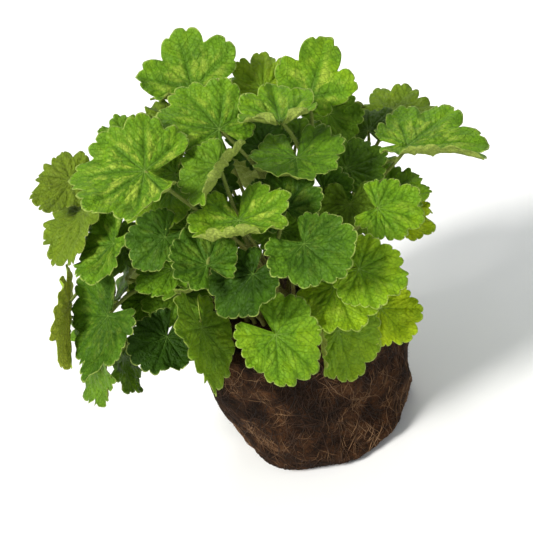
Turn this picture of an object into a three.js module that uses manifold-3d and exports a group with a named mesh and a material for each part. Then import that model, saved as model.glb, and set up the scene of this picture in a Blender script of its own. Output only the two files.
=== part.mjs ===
// A heuchera (coral bells) in full leaf, standing on its bare root ball.
// Millimetres, +Z up. The origin is the middle of the flat underside of the root ball,
// and the side that the plant is looked at from is -Y.

import * as THREE from 'three';
import { mergeVertices } from 'three/addons/utils/BufferGeometryUtils.js';
import Module from 'manifold-3d';

const wasm = await Module();
wasm.setup();

// ---------------------------------------------------------------- driving dimensions

// peat ball: the inside of the pot that it grew in
const ball = {
  topRadius: 70,
  baseRadius: 62,
  height: 100,
  corner: 12,
  rim: 9,
  lump: 1.6,
  sides: 26,
  bands: [0.28, 0.5, 0.72, 0.9],
  room: 6,
};

// woody stock in the middle of the soil
const stock = { radius: 6.5, rise: 13, sink: 9, sides: 10, hole: 7.1 };
const bud = { count: 4, radius: 2.2, length: 9, sides: 6, turn: 0.5 };

// leaf blade: corners round its margin and round a row halfway out, the notch's share of the
// length, how steeply a lobe falls to its cuts and how uneven the outline is
const blade = {
  thickness: 0.7,
  rimPoints: 28,
  plainRimPoints: 21,
  midPoints: 10,
  plainMidPoints: 8,
  notch: 0.09,
  middle: 0.5,
  middleEnd: 0.89,
  lobeFall: 2.4,
  uneven: [0.05, 0.04],
  turn: 6.3,
};

// leaf stalk and the hole that its foot stands in
const stalk = {
  radius: 1.25,
  sides: 5,
  steps: 5,
  sink: 9,
  hole: 2.1,
  innerRing: 11,
  outerRing: 31,
  holeSides: 6,
  apart: 6.4,
  spreadRounds: 120,
  upright: 0.33,
  arrival: 0.36,
  leastRise: 0.35,
  bite: 0.3,
};

// blades are turned and shifted until they clear each other by this much
const settle = {
  rounds: 100,
  clear: 2.1,
  margin: 1.5,
  pull: 0.05,
  fade: 1.4,
  largestStep: 3,
  pivot: 0.2,
  spread: 0.5,
  reach: 1.1,
  ballShare: 0.3,
  sampleEnd: 0.96,
};

// stalks pass blades and each other with this much between the middles
const route = {
  blade: 2.5,
  stalk: 3.5,
  crossing: 4,
  parts: 6,
  passes: 3,
  enough: 0.6,
  detour: 0.01,
  near: { swings: [0, -12, 12, -26, 26], lifts: [0, -10, 12, 24], arrivals: [[0.5, 0.6, 0.8]] },
  wide: {
    swings: [0, -8, 8, -16, 16, -24, 24, -34, 34, -46, 46, -60, 60],
    lifts: [-26, -16, -8, 0, 8, 16, 28, 42],
    arrivals: [[0.5, 0.6, 0.8], [0.1, 0.4, 0.9], [0.3, 1, 0.4], [0.8, 0.6, 0.3], [0, 0.9, 0.1]],
  },
};

const gap = 0.3;

// The leaves of the front are placed as they stand before an upright window: eye distance,
// how far the eye is raised and the plant leans, the window's step and the middle of both.
const view = { distance: 580, raised: 28, lean: 20, step: 0.64, middle: 266.5, target: [-5, 0, 125] };

// what a leaf has where its entry says nothing else: cup and wave of the blade, droop of its
// tip, fold along the midrib, how much longer it is than wide, its lobes and how many degrees
// round from the midrib they reach on each side before the notch
const plainLeaf = {
  cup: 0.1, wave: 0.06, droop: 0.16, fold: 0, long: 0.17, lobes: 7, open: 156, curl: null, spray: null,
  plain: false,
};

// at: window steps across and down to where the stalk meets the blade, y: how far back that is,
// tip: where the midrib points in the window, face: how far the upper face is turned from
// the eye and where to, size: stalk to tip, depth: of the cuts between lobes,
// curl: where the margin rolls up, from how far out and by how many degrees
const seenLeaves = [
  { at: [193, 86], y: 20, tip: 106, face: [35, 95], size: 38, depth: 0.25, cup: 0.2, long: 0.2,
    lobes: 5, open: 150, curl: [180, 0, 150] },
  { at: [221, 131], y: -16, tip: 137, face: [34, 95], size: 36, depth: 0.13, cup: 0.16, wave: 0.1,
    long: 0.3, open: 156, curl: [180, 0.05, -85] },
  { at: [145, 172], y: -43, tip: 180, face: [38, 100], size: 41, depth: 0.15, wave: 0.1, open: 150,
    curl: [-130, 0.3, 95] },
  { at: [174, 172], y: -16, tip: 228, face: [50, 135], size: 39, depth: 0.12, wave: 0.05 },
  { at: [205, 178], y: 9, tip: 245, face: [35, 130], size: 29, depth: 0.16, plain: true },
  { at: [166, 238], y: -48, tip: 222, face: [38, 140], size: 22.5, depth: 0.1, fold: 0.22 },
  { at: [208, 265], y: -72, tip: 116, face: [24, 100], size: 23.5, depth: 0.1, cup: 0.32, open: 158 },
  { at: [239, 221], y: -62, tip: 284, face: [54, 100], size: 30, depth: 0.16, cup: 0.25, long: 0.08,
    open: 166, curl: [6, 0.42, 110] },
  { at: [286, 207], y: -52, tip: 100, face: [18, 100], size: 25.5, depth: 0.12, cup: 0.16, wave: 0.12,
    open: 152 },
  { at: [297, 160], y: -24, tip: 274, face: [62, 100], size: 31, depth: 0.14, cup: 0.2, long: 0.06,
    open: 168, curl: [20, 0.8, 40] },
  { at: [280, 121], y: -26, tip: 105, face: [52, 95], size: 28.5, depth: 0.18, cup: 0.3, open: 164,
    curl: [180, 0, 115] },
  { at: [310, 97], y: 6, tip: 76, face: [14, 90], size: 35.5, depth: 0.34, long: 0.36, wave: 0.08,
    lobes: 5, open: 166 },
  { at: [390, 112], y: 50, tip: 14, face: [64, 95], size: 32.5, depth: 0.18, plain: true },
  { at: [368, 131], y: 28, tip: 96, face: [35, 100], size: 24, depth: 0.16, cup: 0.15, plain: true },
  { at: [408, 146], y: -18, tip: 4, face: [66, 90], size: 50, depth: 0.18, long: 0.3, fold: 0.2, open: 160,
    curl: [92, 0.5, 70] },
  { at: [378, 208], y: -58, tip: 345, face: [24, 80], size: 24, depth: 0.15, cup: 0.14, wave: 0.09,
    long: 0.2, open: 142 },
  { at: [396, 213], y: -24, tip: 340, face: [40, 80], size: 24, depth: 0.18 },
  { at: [304, 244], y: -84, tip: 322, face: [36, 112], size: 29, depth: 0.12, long: 0.2, wave: 0.1,
    open: 152 },
  { at: [359, 269], y: -86, tip: 340, face: [10, 100], size: 24.5, depth: 0.1, cup: 0.14, wave: 0.08,
    open: 162 },
  { at: [335, 286], y: -72, tip: 296, face: [24, 100], size: 29, depth: 0.12, cup: 0.08, wave: 0.08 },
  { at: [380, 309], y: -64, tip: 318, face: [15, 60], size: 24.5, depth: 0.12, cup: 0.08, wave: 0.06 },
  { at: [276, 335], y: -90, tip: 320, face: [8, 100], size: 27, depth: 0.09, cup: 0.08, wave: 0.07,
    long: 0.1, open: 162 },
  { at: [338, 330], y: -76, tip: 284, face: [38, 340], size: 30, depth: 0.1, open: 165,
    curl: [100, 0.22, 115] },
  { at: [253, 275], y: -80, tip: 234, face: [40, 146], size: 27.5, depth: 0.11, cup: 0.1, wave: 0.08,
    long: 0.24, open: 160 },
  { at: [167, 337], y: -60, tip: 252, face: [18, 100], size: 24, depth: 0.08, cup: 0.34, wave: 0.07,
    open: 171 },
  { at: [204, 326], y: -70, tip: 284, face: [64, 15], size: 35, depth: 0.11, cup: 0.06, wave: 0.05 },
  { at: [108, 316], y: -46, tip: 230, face: [48, 172], size: 36, depth: 0.16, cup: 0.16, wave: 0.13,
    open: 152 },
  { at: [70, 305], y: -14, tip: 272, face: [103, 177], size: 40, depth: 0.13, plain: true },
  { at: [113, 243], y: -22, tip: 226, face: [54, 146], size: 29, depth: 0.1, cup: 0.14, wave: 0.12,
    fold: 0.2, open: 150 },
  { at: [73, 182], y: 34, tip: 200, face: [38, 110], size: 27.5, depth: 0.18, wave: 0.08 },
  { at: [82, 212], y: 12, tip: 240, face: [64, 150], size: 38, depth: 0.15, wave: 0.07 },
  { at: [92, 349], y: -16, tip: 268, face: [66, 195], size: 38, depth: 0.15, plain: true },
  { at: [123, 356], y: -20, tip: 276, face: [70, 15], size: 27, depth: 0.15, plain: true },
  { at: [204, 279], y: -50, tip: 192, face: [97, 96], size: 27, depth: 0.12, cup: 0.06, plain: true },
  { at: [219, 165], y: -46, tip: 236, face: [48, 125], size: 26, depth: 0.12, cup: 0.14,
    curl: [-90, 0.1, 110] },
  { at: [262, 146], y: -2, tip: 120, face: [30, 95], size: 24, depth: 0.16, cup: 0.14, plain: true },
  { at: [264, 96], y: 28, tip: 88, face: [30, 95], size: 25, depth: 0.18, plain: true },
  { at: [169, 128], y: 4, tip: 122, face: [44, 100], size: 22, depth: 0.16, plain: true },
  { at: [328, 118], y: 22, tip: 322, face: [22, 80], size: 23, depth: 0.14, cup: 0.12, plain: true },
  { at: [322, 188], y: -22, tip: 330, face: [20, 100], size: 20, depth: 0.14, cup: 0.12, plain: true },
  { at: [346, 168], y: -12, tip: 20, face: [30, 100], size: 24, depth: 0.14, cup: 0.12, plain: true },
  { at: [388, 195], y: -12, tip: 2, face: [44, 100], size: 26, depth: 0.16, cup: 0.12, plain: true },
  { at: [350, 204], y: -38, tip: 268, face: [20, 100], size: 23, depth: 0.14, plain: true },
  { at: [174, 272], y: -34, tip: 205, face: [35, 110], size: 24, depth: 0.14, plain: true },
];

// Young leaves inside the rosette grow in two sprays, each from one foot.
const innerLeaves = [
  { at: [180, 293], y: -26, tip: 250, face: [30, 110], size: 24, spray: 0 },
  { at: [128, 248], y: 4, tip: 215, face: [30, 110], size: 24, spray: 0 },
  { at: [146, 298], y: -12, tip: 215, face: [30, 110], size: 20, spray: 0 },
  { at: [190, 228], y: -26, tip: 225, face: [25, 110], size: 20, spray: 0 },
  { at: [296, 142], y: 6, tip: 80, face: [30, 95], size: 20, spray: 1 },
  { at: [246, 216], y: -8, tip: 250, face: [25, 100], size: 22, spray: 1 },
  { at: [281, 230], y: -34, tip: 285, face: [25, 100], size: 21, spray: 1 },
  { at: [125, 141], y: 4, tip: 108, face: [35, 100], size: 19, spray: 0 },
];
const sprays = 2;

// The far side is filled ring by ring: how far the ring is tilted from straight up,
// the blades in it, their size and the first one's heading from +X
const farRings = [
  { tilt: 34, count: 2, size: 31, from: 62, span: 62 },
  { tilt: 58, count: 4, size: 34, from: 36, span: 92 },
  { tilt: 78, count: 6, size: 34, from: 12, span: 165 },
];
const dome = { foot: 122, reach: 92, rise: 135, faceShare: 0.62 };

// ---------------------------------------------------------------- small helpers

const radians = THREE.MathUtils.degToRad;
const vector = (x, y, z) => new THREE.Vector3(x, y, z);

// a repeatable draw from 0 to 1
function draw(seed, index) {
  const value = Math.sin(seed * 127.1 + index * 311.7) * 43758.5453;
  return value - Math.floor(value);
}

// ---------------------------------------------------------------- where the leaves stand

// right, up and eye directions of the window
function windowFrame() {
  const raised = radians(view.raised);
  const lean = radians(view.lean);
  const eyeward = vector(0, -Math.cos(raised), Math.sin(raised));
  const level = vector(1, 0, 0);
  const upward = vector(0, Math.sin(raised), Math.cos(raised));
  const right = level.clone().multiplyScalar(Math.cos(lean)).addScaledVector(upward, -Math.sin(lean));
  const up = level.clone().multiplyScalar(Math.sin(lean)).addScaledVector(upward, Math.cos(lean));
  const target = vector(...view.target);
  return { right, up, target, eye: target.clone().addScaledVector(eyeward, view.distance) };
}

const windowAxes = windowFrame();

// the point that shows at a window place, y back from the middle
function placeInWindow([across, down], y) {
  const { right, up, target, eye } = windowAxes;
  const onWindow = target.clone()
    .addScaledVector(right, (across - view.middle) * view.step)
    .addScaledVector(up, (view.middle - down) * view.step);
  const sight = onWindow.sub(eye);
  return eye.clone().addScaledVector(sight, (y - eye.y) / sight.y);
}

// midrib and face directions of a blade from how it shows in the window
function poseInWindow(leaf) {
  const at = placeInWindow(leaf.at, leaf.y);
  const toEye = windowAxes.eye.clone().sub(at).normalize();
  const across = windowAxes.right.clone().addScaledVector(toEye, -windowAxes.right.dot(toEye)).normalize();
  const upward = toEye.clone().cross(across);
  const slant = radians(leaf.face[0]);
  const toward = radians(leaf.face[1]);
  const tip = radians(leaf.tip);
  const face = across.clone().multiplyScalar(Math.sin(slant) * Math.cos(toward))
    .addScaledVector(upward, Math.sin(slant) * Math.sin(toward))
    .addScaledVector(toEye, Math.cos(slant));
  const along = across.multiplyScalar(Math.cos(tip)).addScaledVector(upward, Math.sin(tip));
  along.addScaledVector(toEye, -Math.tan(slant) * Math.cos(tip - toward)).normalize();
  return { at, along, face };
}

// a blade on the dome, its face between up and outwards
function poseOnDome(tilt, heading) {
  const lean = radians(tilt);
  const turn = radians(heading);
  const out = vector(Math.cos(turn), Math.sin(turn), 0);
  const at = out.clone().multiplyScalar(dome.reach * Math.sin(lean));
  at.z = dome.foot + dome.rise * Math.cos(lean);
  const faceLean = lean * dome.faceShare;
  const face = out.clone().multiplyScalar(Math.sin(faceLean)).setZ(Math.cos(faceLean));
  const along = out.clone().multiplyScalar(Math.cos(faceLean)).setZ(-Math.sin(faceLean));
  return { at, along, face };
}

function farLeaves() {
  const leaves = [];
  farRings.forEach((ring, row) => {
    for (let index = 0; index < ring.count; index += 1) {
      const seed = 80 + row * 10 + index;
      const even = ring.count > 1 ? index / (ring.count - 1) : 0.5;
      const heading = ring.from + ring.span * even + 14 * (draw(seed, 1) - 0.5);
      const tilt = ring.tilt + 10 * (draw(seed, 2) - 0.5);
      const size = ring.size * (0.85 + 0.3 * draw(seed, 3));
      const depth = 0.16 + 0.1 * draw(seed, 4);
      leaves.push({ ...poseOnDome(tilt, heading), size, depth, plain: true });
    }
  });
  return leaves;
}

function withHome(leaf, seed) {
  const home = { at: leaf.at.clone(), along: leaf.along.clone(), face: leaf.face.clone() };
  return { ...plainLeaf, ...leaf, seed, home };
}

function grownLeaves() {
  const seen = seenLeaves.map((leaf) => ({ ...leaf, ...poseInWindow(leaf) }));
  const inner = innerLeaves.map((leaf) => ({ depth: 0.16, plain: true, ...leaf, ...poseInWindow(leaf) }));
  return [...seen, ...farLeaves(), ...inner].map((leaf, index) => withHome(leaf, index + 1));
}

// ---------------------------------------------------------------- shape of a blade

// outline radius at an angle from the midrib: a round leaf, narrower at the stalk,
// pulled in between the lobes, with straight edges down to an open notch at the stalk
function outline(leaf, angle) {
  const degrees = THREE.MathUtils.radToDeg(angle);
  const uneven = 1 + blade.uneven[0] * Math.sin(2 * angle + blade.turn * draw(leaf.seed, 5))
    + blade.uneven[1] * Math.sin(3 * angle + blade.turn * draw(leaf.seed, 6));
  const whole = leaf.size * (1 - leaf.long + leaf.long * Math.cos(angle)) * uneven;
  const corner = 1 - leaf.depth;
  const past = Math.abs(degrees) - leaf.open;
  if (past >= 0) {
    const gape = Math.sin(radians(180 - leaf.open));
    const reach = corner * Math.sin(radians(past)) + blade.notch * Math.sin(Math.abs(angle));
    return whole * corner * blade.notch * gape / reach;
  }
  const half = leaf.open / leaf.lobes;
  const fromMiddle = degrees - 2 * half * Math.round(degrees / (2 * half));
  return whole * (1 - leaf.depth * Math.abs(fromMiddle / half) ** blade.lobeFall);
}

// height of the blade's middle surface over its flat plane: cupped, waved at the margin,
// drooping at the tip
function height(leaf, x, y) {
  const reach = Math.hypot(x, y) / leaf.size;
  const angle = Math.atan2(y, x);
  const waves = Math.cos((2 + Math.round(draw(leaf.seed, 8))) * angle + blade.turn * draw(leaf.seed, 7));
  const droop = leaf.droop * Math.max(0, x / leaf.size) ** 2;
  const fold = leaf.fold * Math.abs(y / leaf.size);
  return leaf.size * (leaf.cup * reach ** 2 + leaf.wave * reach ** 3 * waves * 1.6 + fold - droop);
}

// a point at a height over the blade's middle surface, rolled up with the margin where it curls
function bladePoint(leaf, x, y, over = 0) {
  const slope = bladeNormal(leaf, x, y).multiplyScalar(over);
  const point = [x + slope.x, y + slope.y, height(leaf, x, y) + slope.z];
  if (!leaf.curl) return point;
  const heading = radians(leaf.curl[0]);
  const [cos, sin] = [Math.cos(heading), Math.sin(heading)];
  const past = point[0] * cos + point[1] * sin - leaf.curl[1] * leaf.size;
  if (past <= 0) return point;
  const bend = radians(leaf.curl[2]) * Math.min(1, past / (0.6 * leaf.size));
  const radius = past / bend;
  const shift = (radius - point[2]) * Math.sin(bend) - past;
  const rise = radius - (radius - point[2]) * Math.cos(bend);
  return [point[0] + shift * cos, point[1] + shift * sin, rise];
}

const sideways = (leaf) => leaf.along.clone().cross(leaf.face);

function toWorld(leaf, [x, y, z]) {
  return leaf.at.clone().addScaledVector(leaf.along, x).addScaledVector(sideways(leaf), y)
    .addScaledVector(leaf.face, z);
}

function toBlade(leaf, point) {
  const offset = point.clone().sub(leaf.at);
  return [offset.dot(leaf.along), offset.dot(sideways(leaf)), offset.dot(leaf.face)];
}

// how far a point is over the blade's surface, and how far past its outline
function placeOver(leaf, point) {
  const [x, y, z] = toBlade(leaf, point);
  const reach = Math.hypot(x, y);
  const kept = Math.min(1, 1.15 * leaf.size / Math.max(reach, 1e-6));
  return { over: z - height(leaf, x * kept, y * kept), past: reach - outline(leaf, Math.atan2(y, x)) };
}

// ---------------------------------------------------------------- blades clear each other

// blades stay off the ball: how far a point has to move out, or up where it is over the rim
function offBall(point) {
  const radius = Math.hypot(point.x, point.y);
  const side = ball.baseRadius + (ball.topRadius - ball.baseRadius) * point.z / ball.height;
  const lackOut = side + ball.room - radius;
  const lackUp = ball.height + ball.room - point.z;
  if (lackOut <= 0 || lackUp <= 0) return null;
  if (lackUp < lackOut) return vector(0, 0, lackUp);
  return vector(point.x, point.y, 0).multiplyScalar(lackOut / radius);
}

function nudgeOffBall(leaf, points) {
  for (const point of points) {
    const step = offBall(point);
    if (step) nudge(leaf, point, step.multiplyScalar(settle.ballShare));
  }
}

function samplePoints(leaf) {
  const points = [[0, 0, 0], [-1, 0, -2 * stalk.radius]];
  for (const [share, count] of [[0.98, 24], [0.75, 14], [0.4, 8]]) {
    for (let index = 0; index < count; index += 1) {
      const angle = radians(settle.sampleEnd * leaf.open * (2 * index / (count - 1) - 1));
      const radius = share * outline(leaf, angle);
      const x = radius * Math.cos(angle);
      const y = radius * Math.sin(angle);
      points.push(bladePoint(leaf, x, y));
    }
  }
  return points;
}

const pivotOf = (leaf) => leaf.at.clone().addScaledVector(leaf.along, settle.pivot * leaf.size);

// turns and shifts a blade so that its point moves by the given step
function nudge(leaf, point, step) {
  const middle = pivotOf(leaf);
  const arm = point.clone().sub(middle);
  const spread = (settle.spread * leaf.size) ** 2;
  const share = 1 / (spread + arm.lengthSq());
  leaf.shift.addScaledVector(step, spread * share);
  leaf.turn.addScaledVector(arm.cross(step), share);
}

function applyNudges(leaf) {
  const middle = pivotOf(leaf);
  const arm = leaf.at.clone().sub(middle);
  leaf.at.add(leaf.shift).add(leaf.turn.clone().cross(arm));
  leaf.along.add(leaf.turn.clone().cross(leaf.along));
  leaf.face.add(leaf.turn.clone().cross(leaf.face)).normalize();
  leaf.along.addScaledVector(leaf.face, -leaf.along.dot(leaf.face)).normalize();
}

function pullHome(leaf, share) {
  leaf.at.lerp(leaf.home.at, share);
  leaf.face.lerp(leaf.home.face, share).normalize();
  leaf.along.lerp(leaf.home.along, share);
  leaf.along.addScaledVector(leaf.face, -leaf.along.dot(leaf.face)).normalize();
}

// the points of one blade that lie over or under another, with their heights
function contacts(lower, points) {
  const found = [];
  for (const point of points) {
    const { over, past } = placeOver(lower, point);
    if (past < settle.margin) found.push({ point, over });
  }
  return found;
}

function separate(first, second, firstPoints, secondPoints) {
  const onFirst = contacts(first, secondPoints);
  const onSecond = contacts(second, firstPoints);
  if (onFirst.length + onSecond.length === 0) return;
  const apart = vector(0, 0, 0);
  onFirst.forEach(({ over }) => apart.addScaledVector(first.face, over));
  onSecond.forEach(({ over }) => apart.addScaledVector(second.face, -over));
  pushOff(first, second, onFirst, Math.sign(apart.dot(first.face)) || 1);
  pushOff(second, first, onSecond, -Math.sign(apart.dot(second.face)) || 1);
}

function pushOff(base, other, found, side) {
  let worst = null;
  for (const contact of found) {
    const lack = settle.clear - side * contact.over;
    if (lack > 0 && (!worst || lack > worst.lack)) worst = { point: contact.point, lack };
  }
  if (!worst) return;
  const step = base.face.clone().multiplyScalar(side * Math.min(worst.lack, settle.largestStep) / 2);
  nudge(other, worst.point, step);
  nudge(base, worst.point, step.negate());
}

function settleBlades(leaves) {
  const samples = leaves.map(samplePoints);
  for (let round = 0; round < settle.rounds; round += 1) {
    const points = leaves.map((leaf, index) => samples[index].map((sample) => toWorld(leaf, sample)));
    leaves.forEach((leaf) => {
      leaf.shift = vector(0, 0, 0);
      leaf.turn = vector(0, 0, 0);
    });
    leaves.forEach((leaf, index) => nudgeOffBall(leaf, points[index]));
    for (let i = 0; i < leaves.length; i += 1) {
      for (let j = i + 1; j < leaves.length; j += 1) {
        const near = settle.reach * (leaves[i].size + leaves[j].size);
        if (leaves[i].at.distanceTo(leaves[j].at) < near) {
          separate(leaves[i], leaves[j], points[i], points[j]);
        }
      }
    }
    leaves.forEach(applyNudges);
    const share = settle.pull * Math.max(0, 1 - settle.fade * round / settle.rounds);
    leaves.forEach((leaf) => pullHome(leaf, share));
  }
}

// ---------------------------------------------------------------- stalks

// feet stand round the stock: leaves that lean out furthest have the outermost feet
function plantFeet(leaves) {
  const leanOf = (leaf) => Math.atan2(Math.hypot(leaf.at.x, leaf.at.y), leaf.at.z - ball.height);
  const single = leaves.filter((leaf) => leaf.spray === null);
  const order = [...single].sort((a, b) => leanOf(a) - leanOf(b));
  order.forEach((leaf, rank) => {
    const share = Math.sqrt((rank + 0.5) / order.length);
    const radius = stalk.innerRing + (stalk.outerRing - stalk.innerRing) * share;
    const turn = Math.atan2(leaf.at.y, leaf.at.x);
    leaf.foot = vector(radius * Math.cos(turn), radius * Math.sin(turn), ball.height);
  });
  const sprayFeet = [];
  for (let spray = 0; spray < sprays; spray += 1) {
    const turn = Math.PI * (2 * spray / sprays + 1);
    sprayFeet.push(vector(stalk.innerRing * Math.cos(turn), stalk.innerRing * Math.sin(turn), ball.height));
  }
  const feet = [...sprayFeet, ...single.map((leaf) => leaf.foot)];
  for (let round = 0; round < stalk.spreadRounds; round += 1) spreadFeet(feet);
  leaves.filter((leaf) => leaf.spray !== null).forEach((leaf) => {
    leaf.foot = sprayFeet[leaf.spray];
  });
}

function spreadFeet(feet) {
  for (let i = 0; i < feet.length; i += 1) {
    for (let j = i + 1; j < feet.length; j += 1) {
      const offset = feet[j].clone().sub(feet[i]);
      const distance = offset.length() || 0.001;
      if (distance < stalk.apart) {
        const step = offset.multiplyScalar((stalk.apart - distance) / (2 * distance));
        feet[i].sub(step);
        feet[j].add(step);
      }
    }
  }
  feet.forEach((foot) => {
    const radius = Math.hypot(foot.x, foot.y);
    const kept = Math.max(radius, stalk.innerRing);
    foot.x *= kept / radius;
    foot.y *= kept / radius;
  });
}

// a stalk rises from its foot, swings aside or up as asked, and meets the blade from below
function stalkPoints(leaf, swing, lift, [alongPart, facePart, straightPart]) {
  const start = leaf.foot.clone().setZ(ball.height + 1);
  const straight = leaf.at.clone().sub(start);
  const span = straight.length();
  const side = vector(0, 0, 1).cross(straight).normalize();
  const bend = side.clone().multiplyScalar(swing).addScaledVector(vector(0, 0, 1), lift);
  const arrive = leaf.along.clone().multiplyScalar(alongPart).addScaledVector(leaf.face, facePart)
    .addScaledVector(straight.normalize(), straightPart).normalize();
  const lack = Math.max(0, stalk.leastRise - arrive.dot(leaf.face));
  arrive.addScaledVector(leaf.face, lack).normalize();
  const sunk = stalk.radius * arrive.clone().cross(leaf.face).length() - stalk.bite;
  const end = leaf.at.clone().addScaledVector(leaf.face, -sunk);
  const first = start.clone().add(vector(0, 0, stalk.upright * span)).addScaledVector(bend, 0.5);
  const second = end.clone().addScaledVector(arrive, -stalk.arrival * span).add(bend);
  const curve = new THREE.CubicBezierCurve3(start, first, second, end);
  return [leaf.foot.clone().setZ(ball.height - stalk.sink), ...curve.getPoints(stalk.steps - 1)];
}

// how badly a stalk runs into blades and into the stalks already placed
function stalkCost(leaf, points, leaves) {
  let cost = grounding(points);
  for (const other of leaves) {
    if (other === leaf) continue;
    const sameFoot = other.foot === leaf.foot;
    if (other.path && !sameFoot) cost += crowding(points, other.path);
    cost += piercing(points, other);
  }
  return cost;
}

// a stalk keeps over the soil
function grounding(points) {
  let cost = 0;
  for (const point of points.slice(2)) {
    const low = ball.height + 2 * stalk.radius - point.z;
    if (low > 0 && Math.hypot(point.x, point.y) < ball.topRadius + ball.room) cost += 1 + low;
  }
  return cost;
}

function crowding(points, path) {
  let cost = 0;
  for (let i = 1; i + 1 < points.length; i += 1) {
    for (let j = 1; j + 1 < path.length; j += 1) {
      const distance = segmentDistance(points[i], points[i + 1], path[j], path[j + 1]);
      if (distance < route.stalk) cost += 1 + route.stalk - distance;
    }
  }
  return cost;
}

function piercing(points, other) {
  let cost = 0;
  let before = null;
  const last = points.length - 1;
  const { parts } = route;
  for (let step = parts; step <= last * parts; step += 1) {
    const index = Math.min(Math.floor(step / parts), last - 1);
    const point = points[index].clone().lerp(points[index + 1], step / parts - index);
    const place = placeOver(other, point);
    const within = place.past < route.blade;
    const crossed = before !== null && place.over * before.over < 0;
    if (crossed && (within || before.past < route.blade)) cost += route.crossing;
    if (within && Math.abs(place.over) < route.blade) cost += 1 + route.blade - Math.abs(place.over);
    before = place;
  }
  return cost;
}

// least distance between two straight pieces
function segmentDistance(a, b, c, d) {
  const u = b.clone().sub(a);
  const v = d.clone().sub(c);
  const w = a.clone().sub(c);
  const uu = u.dot(u);
  const uv = u.dot(v);
  const vv = v.dot(v);
  const uw = u.dot(w);
  const vw = v.dot(w);
  const clamp = (value) => Math.min(1, Math.max(0, value));
  const spread = uu * vv - uv * uv;
  const s = spread > 1e-9 ? clamp((uv * vw - vv * uw) / spread) : 0.5;
  const t = clamp((uv * s + vw) / vv);
  const back = clamp((uv * t - uw) / uu);
  return a.clone().addScaledVector(u, back).distanceTo(c.clone().addScaledVector(v, t));
}

function bestRoute(leaf, leaves, choice, best) {
  let found = best;
  for (const arrival of choice.arrivals) {
    for (const swing of choice.swings) {
      for (const lift of choice.lifts) {
        const points = stalkPoints(leaf, swing, lift, arrival);
        const cost = stalkCost(leaf, points, leaves) + route.detour * (Math.abs(swing) + Math.abs(lift));
        if (cost < found.cost) found = { cost, points };
      }
    }
  }
  return found;
}

function findRoute(leaf, leaves) {
  const best = bestRoute(leaf, leaves, route.near, { cost: Infinity });
  return best.cost > route.enough ? bestRoute(leaf, leaves, route.wide, best) : best;
}

function routeStalks(leaves) {
  for (let pass = 0; pass < route.passes; pass += 1) {
    for (const leaf of leaves) {
      leaf.path = null;
      leaf.path = findRoute(leaf, leaves).points;
    }
  }
}

// ---------------------------------------------------------------- solids

function solidOf(geometry) {
  const bare = geometry.index ? geometry.clone() : geometry;
  bare.deleteAttribute('normal');
  bare.deleteAttribute('uv');
  const merged = mergeVertices(bare, 1e-5);
  return new wasm.Manifold(new wasm.Mesh({
    numProp: 3,
    vertProperties: new Float32Array(merged.attributes.position.array),
    triVerts: new Uint32Array(merged.index.array),
  }));
}

function geometryOf(solid) {
  const mesh = solid.getMesh();
  const geometry = new THREE.BufferGeometry();
  geometry.setAttribute('position', new THREE.BufferAttribute(new Float32Array(mesh.vertProperties), 3));
  geometry.setIndex(new THREE.BufferAttribute(new Uint32Array(mesh.triVerts), 1));
  geometry.computeVertexNormals();
  return geometry;
}

// two rows of points, joined by triangles that follow their angles
function zipRows(outer, inner, triangles) {
  let i = 0;
  let j = 0;
  while (i + 1 < outer.length || j + 1 < inner.length) {
    const outerShare = (i + 1) / (outer.length - 1);
    const innerShare = (j + 1) / (inner.length - 1);
    if (j + 1 >= inner.length || (i + 1 < outer.length && outerShare <= innerShare)) {
      triangles.push([outer[i], outer[i + 1], inner[j]]);
      i += 1;
    } else {
      triangles.push([outer[i], inner[j + 1], inner[j]]);
      j += 1;
    }
  }
}

// flat layout of a blade: the stalk point, a middle row, the margin and the notch
function bladeLayout(leaf) {
  const rimPoints = leaf.plain ? blade.plainRimPoints : blade.rimPoints;
  const midPoints = leaf.plain ? blade.plainMidPoints : blade.midPoints;
  const parts = leaf.lobes * Math.round(rimPoints / leaf.lobes);
  const flat = [[0, 0]];
  const put = (angle, share) => {
    const radius = share * outline(leaf, angle);
    flat.push([radius * Math.cos(angle), radius * Math.sin(angle)]);
    return flat.length - 1;
  };
  const outer = [];
  for (let index = 0; index <= parts; index += 1) {
    outer.push(put(radians(leaf.open * (2 * index / parts - 1)), 1));
  }
  const inner = [];
  for (let index = 0; index < midPoints; index += 1) {
    inner.push(put(radians(blade.middleEnd * leaf.open * (2 * index / (midPoints - 1) - 1)), blade.middle));
  }
  const notch = put(Math.PI, 1);
  const triangles = [];
  zipRows(outer, inner, triangles);
  for (let index = 0; index + 1 < inner.length; index += 1) {
    triangles.push([inner[index], inner[index + 1], 0]);
  }
  triangles.push([inner[inner.length - 1], outer[outer.length - 1], notch]);
  triangles.push([inner[inner.length - 1], notch, 0]);
  triangles.push([notch, outer[0], inner[0]]);
  triangles.push([notch, inner[0], 0]);
  return { flat, triangles, rim: [notch, ...outer] };
}

// face direction of the blade's middle surface at a flat point
function bladeNormal(leaf, x, y) {
  const step = 0.05;
  const slopeX = (height(leaf, x + step, y) - height(leaf, x - step, y)) / (2 * step);
  const slopeY = (height(leaf, x, y + step) - height(leaf, x, y - step)) / (2 * step);
  return vector(-slopeX, -slopeY, 1).normalize();
}

function bladeSolid(leaf) {
  const { flat, triangles, rim } = bladeLayout(leaf);
  const positions = [];
  for (const side of [1, -1]) {
    for (const [x, y] of flat) {
      const point = toWorld(leaf, bladePoint(leaf, x, y, side * blade.thickness / 2));
      positions.push(point.x, point.y, point.z);
    }
  }
  const count = flat.length;
  const faces = [];
  for (const [a, b, c] of triangles) {
    faces.push(a, b, c, a + count, c + count, b + count);
  }
  rim.forEach((from, index) => {
    const to = rim[(index + 1) % rim.length];
    faces.push(from, from + count, to, to, from + count, to + count);
  });
  return orientedSolid(positions, faces);
}

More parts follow.
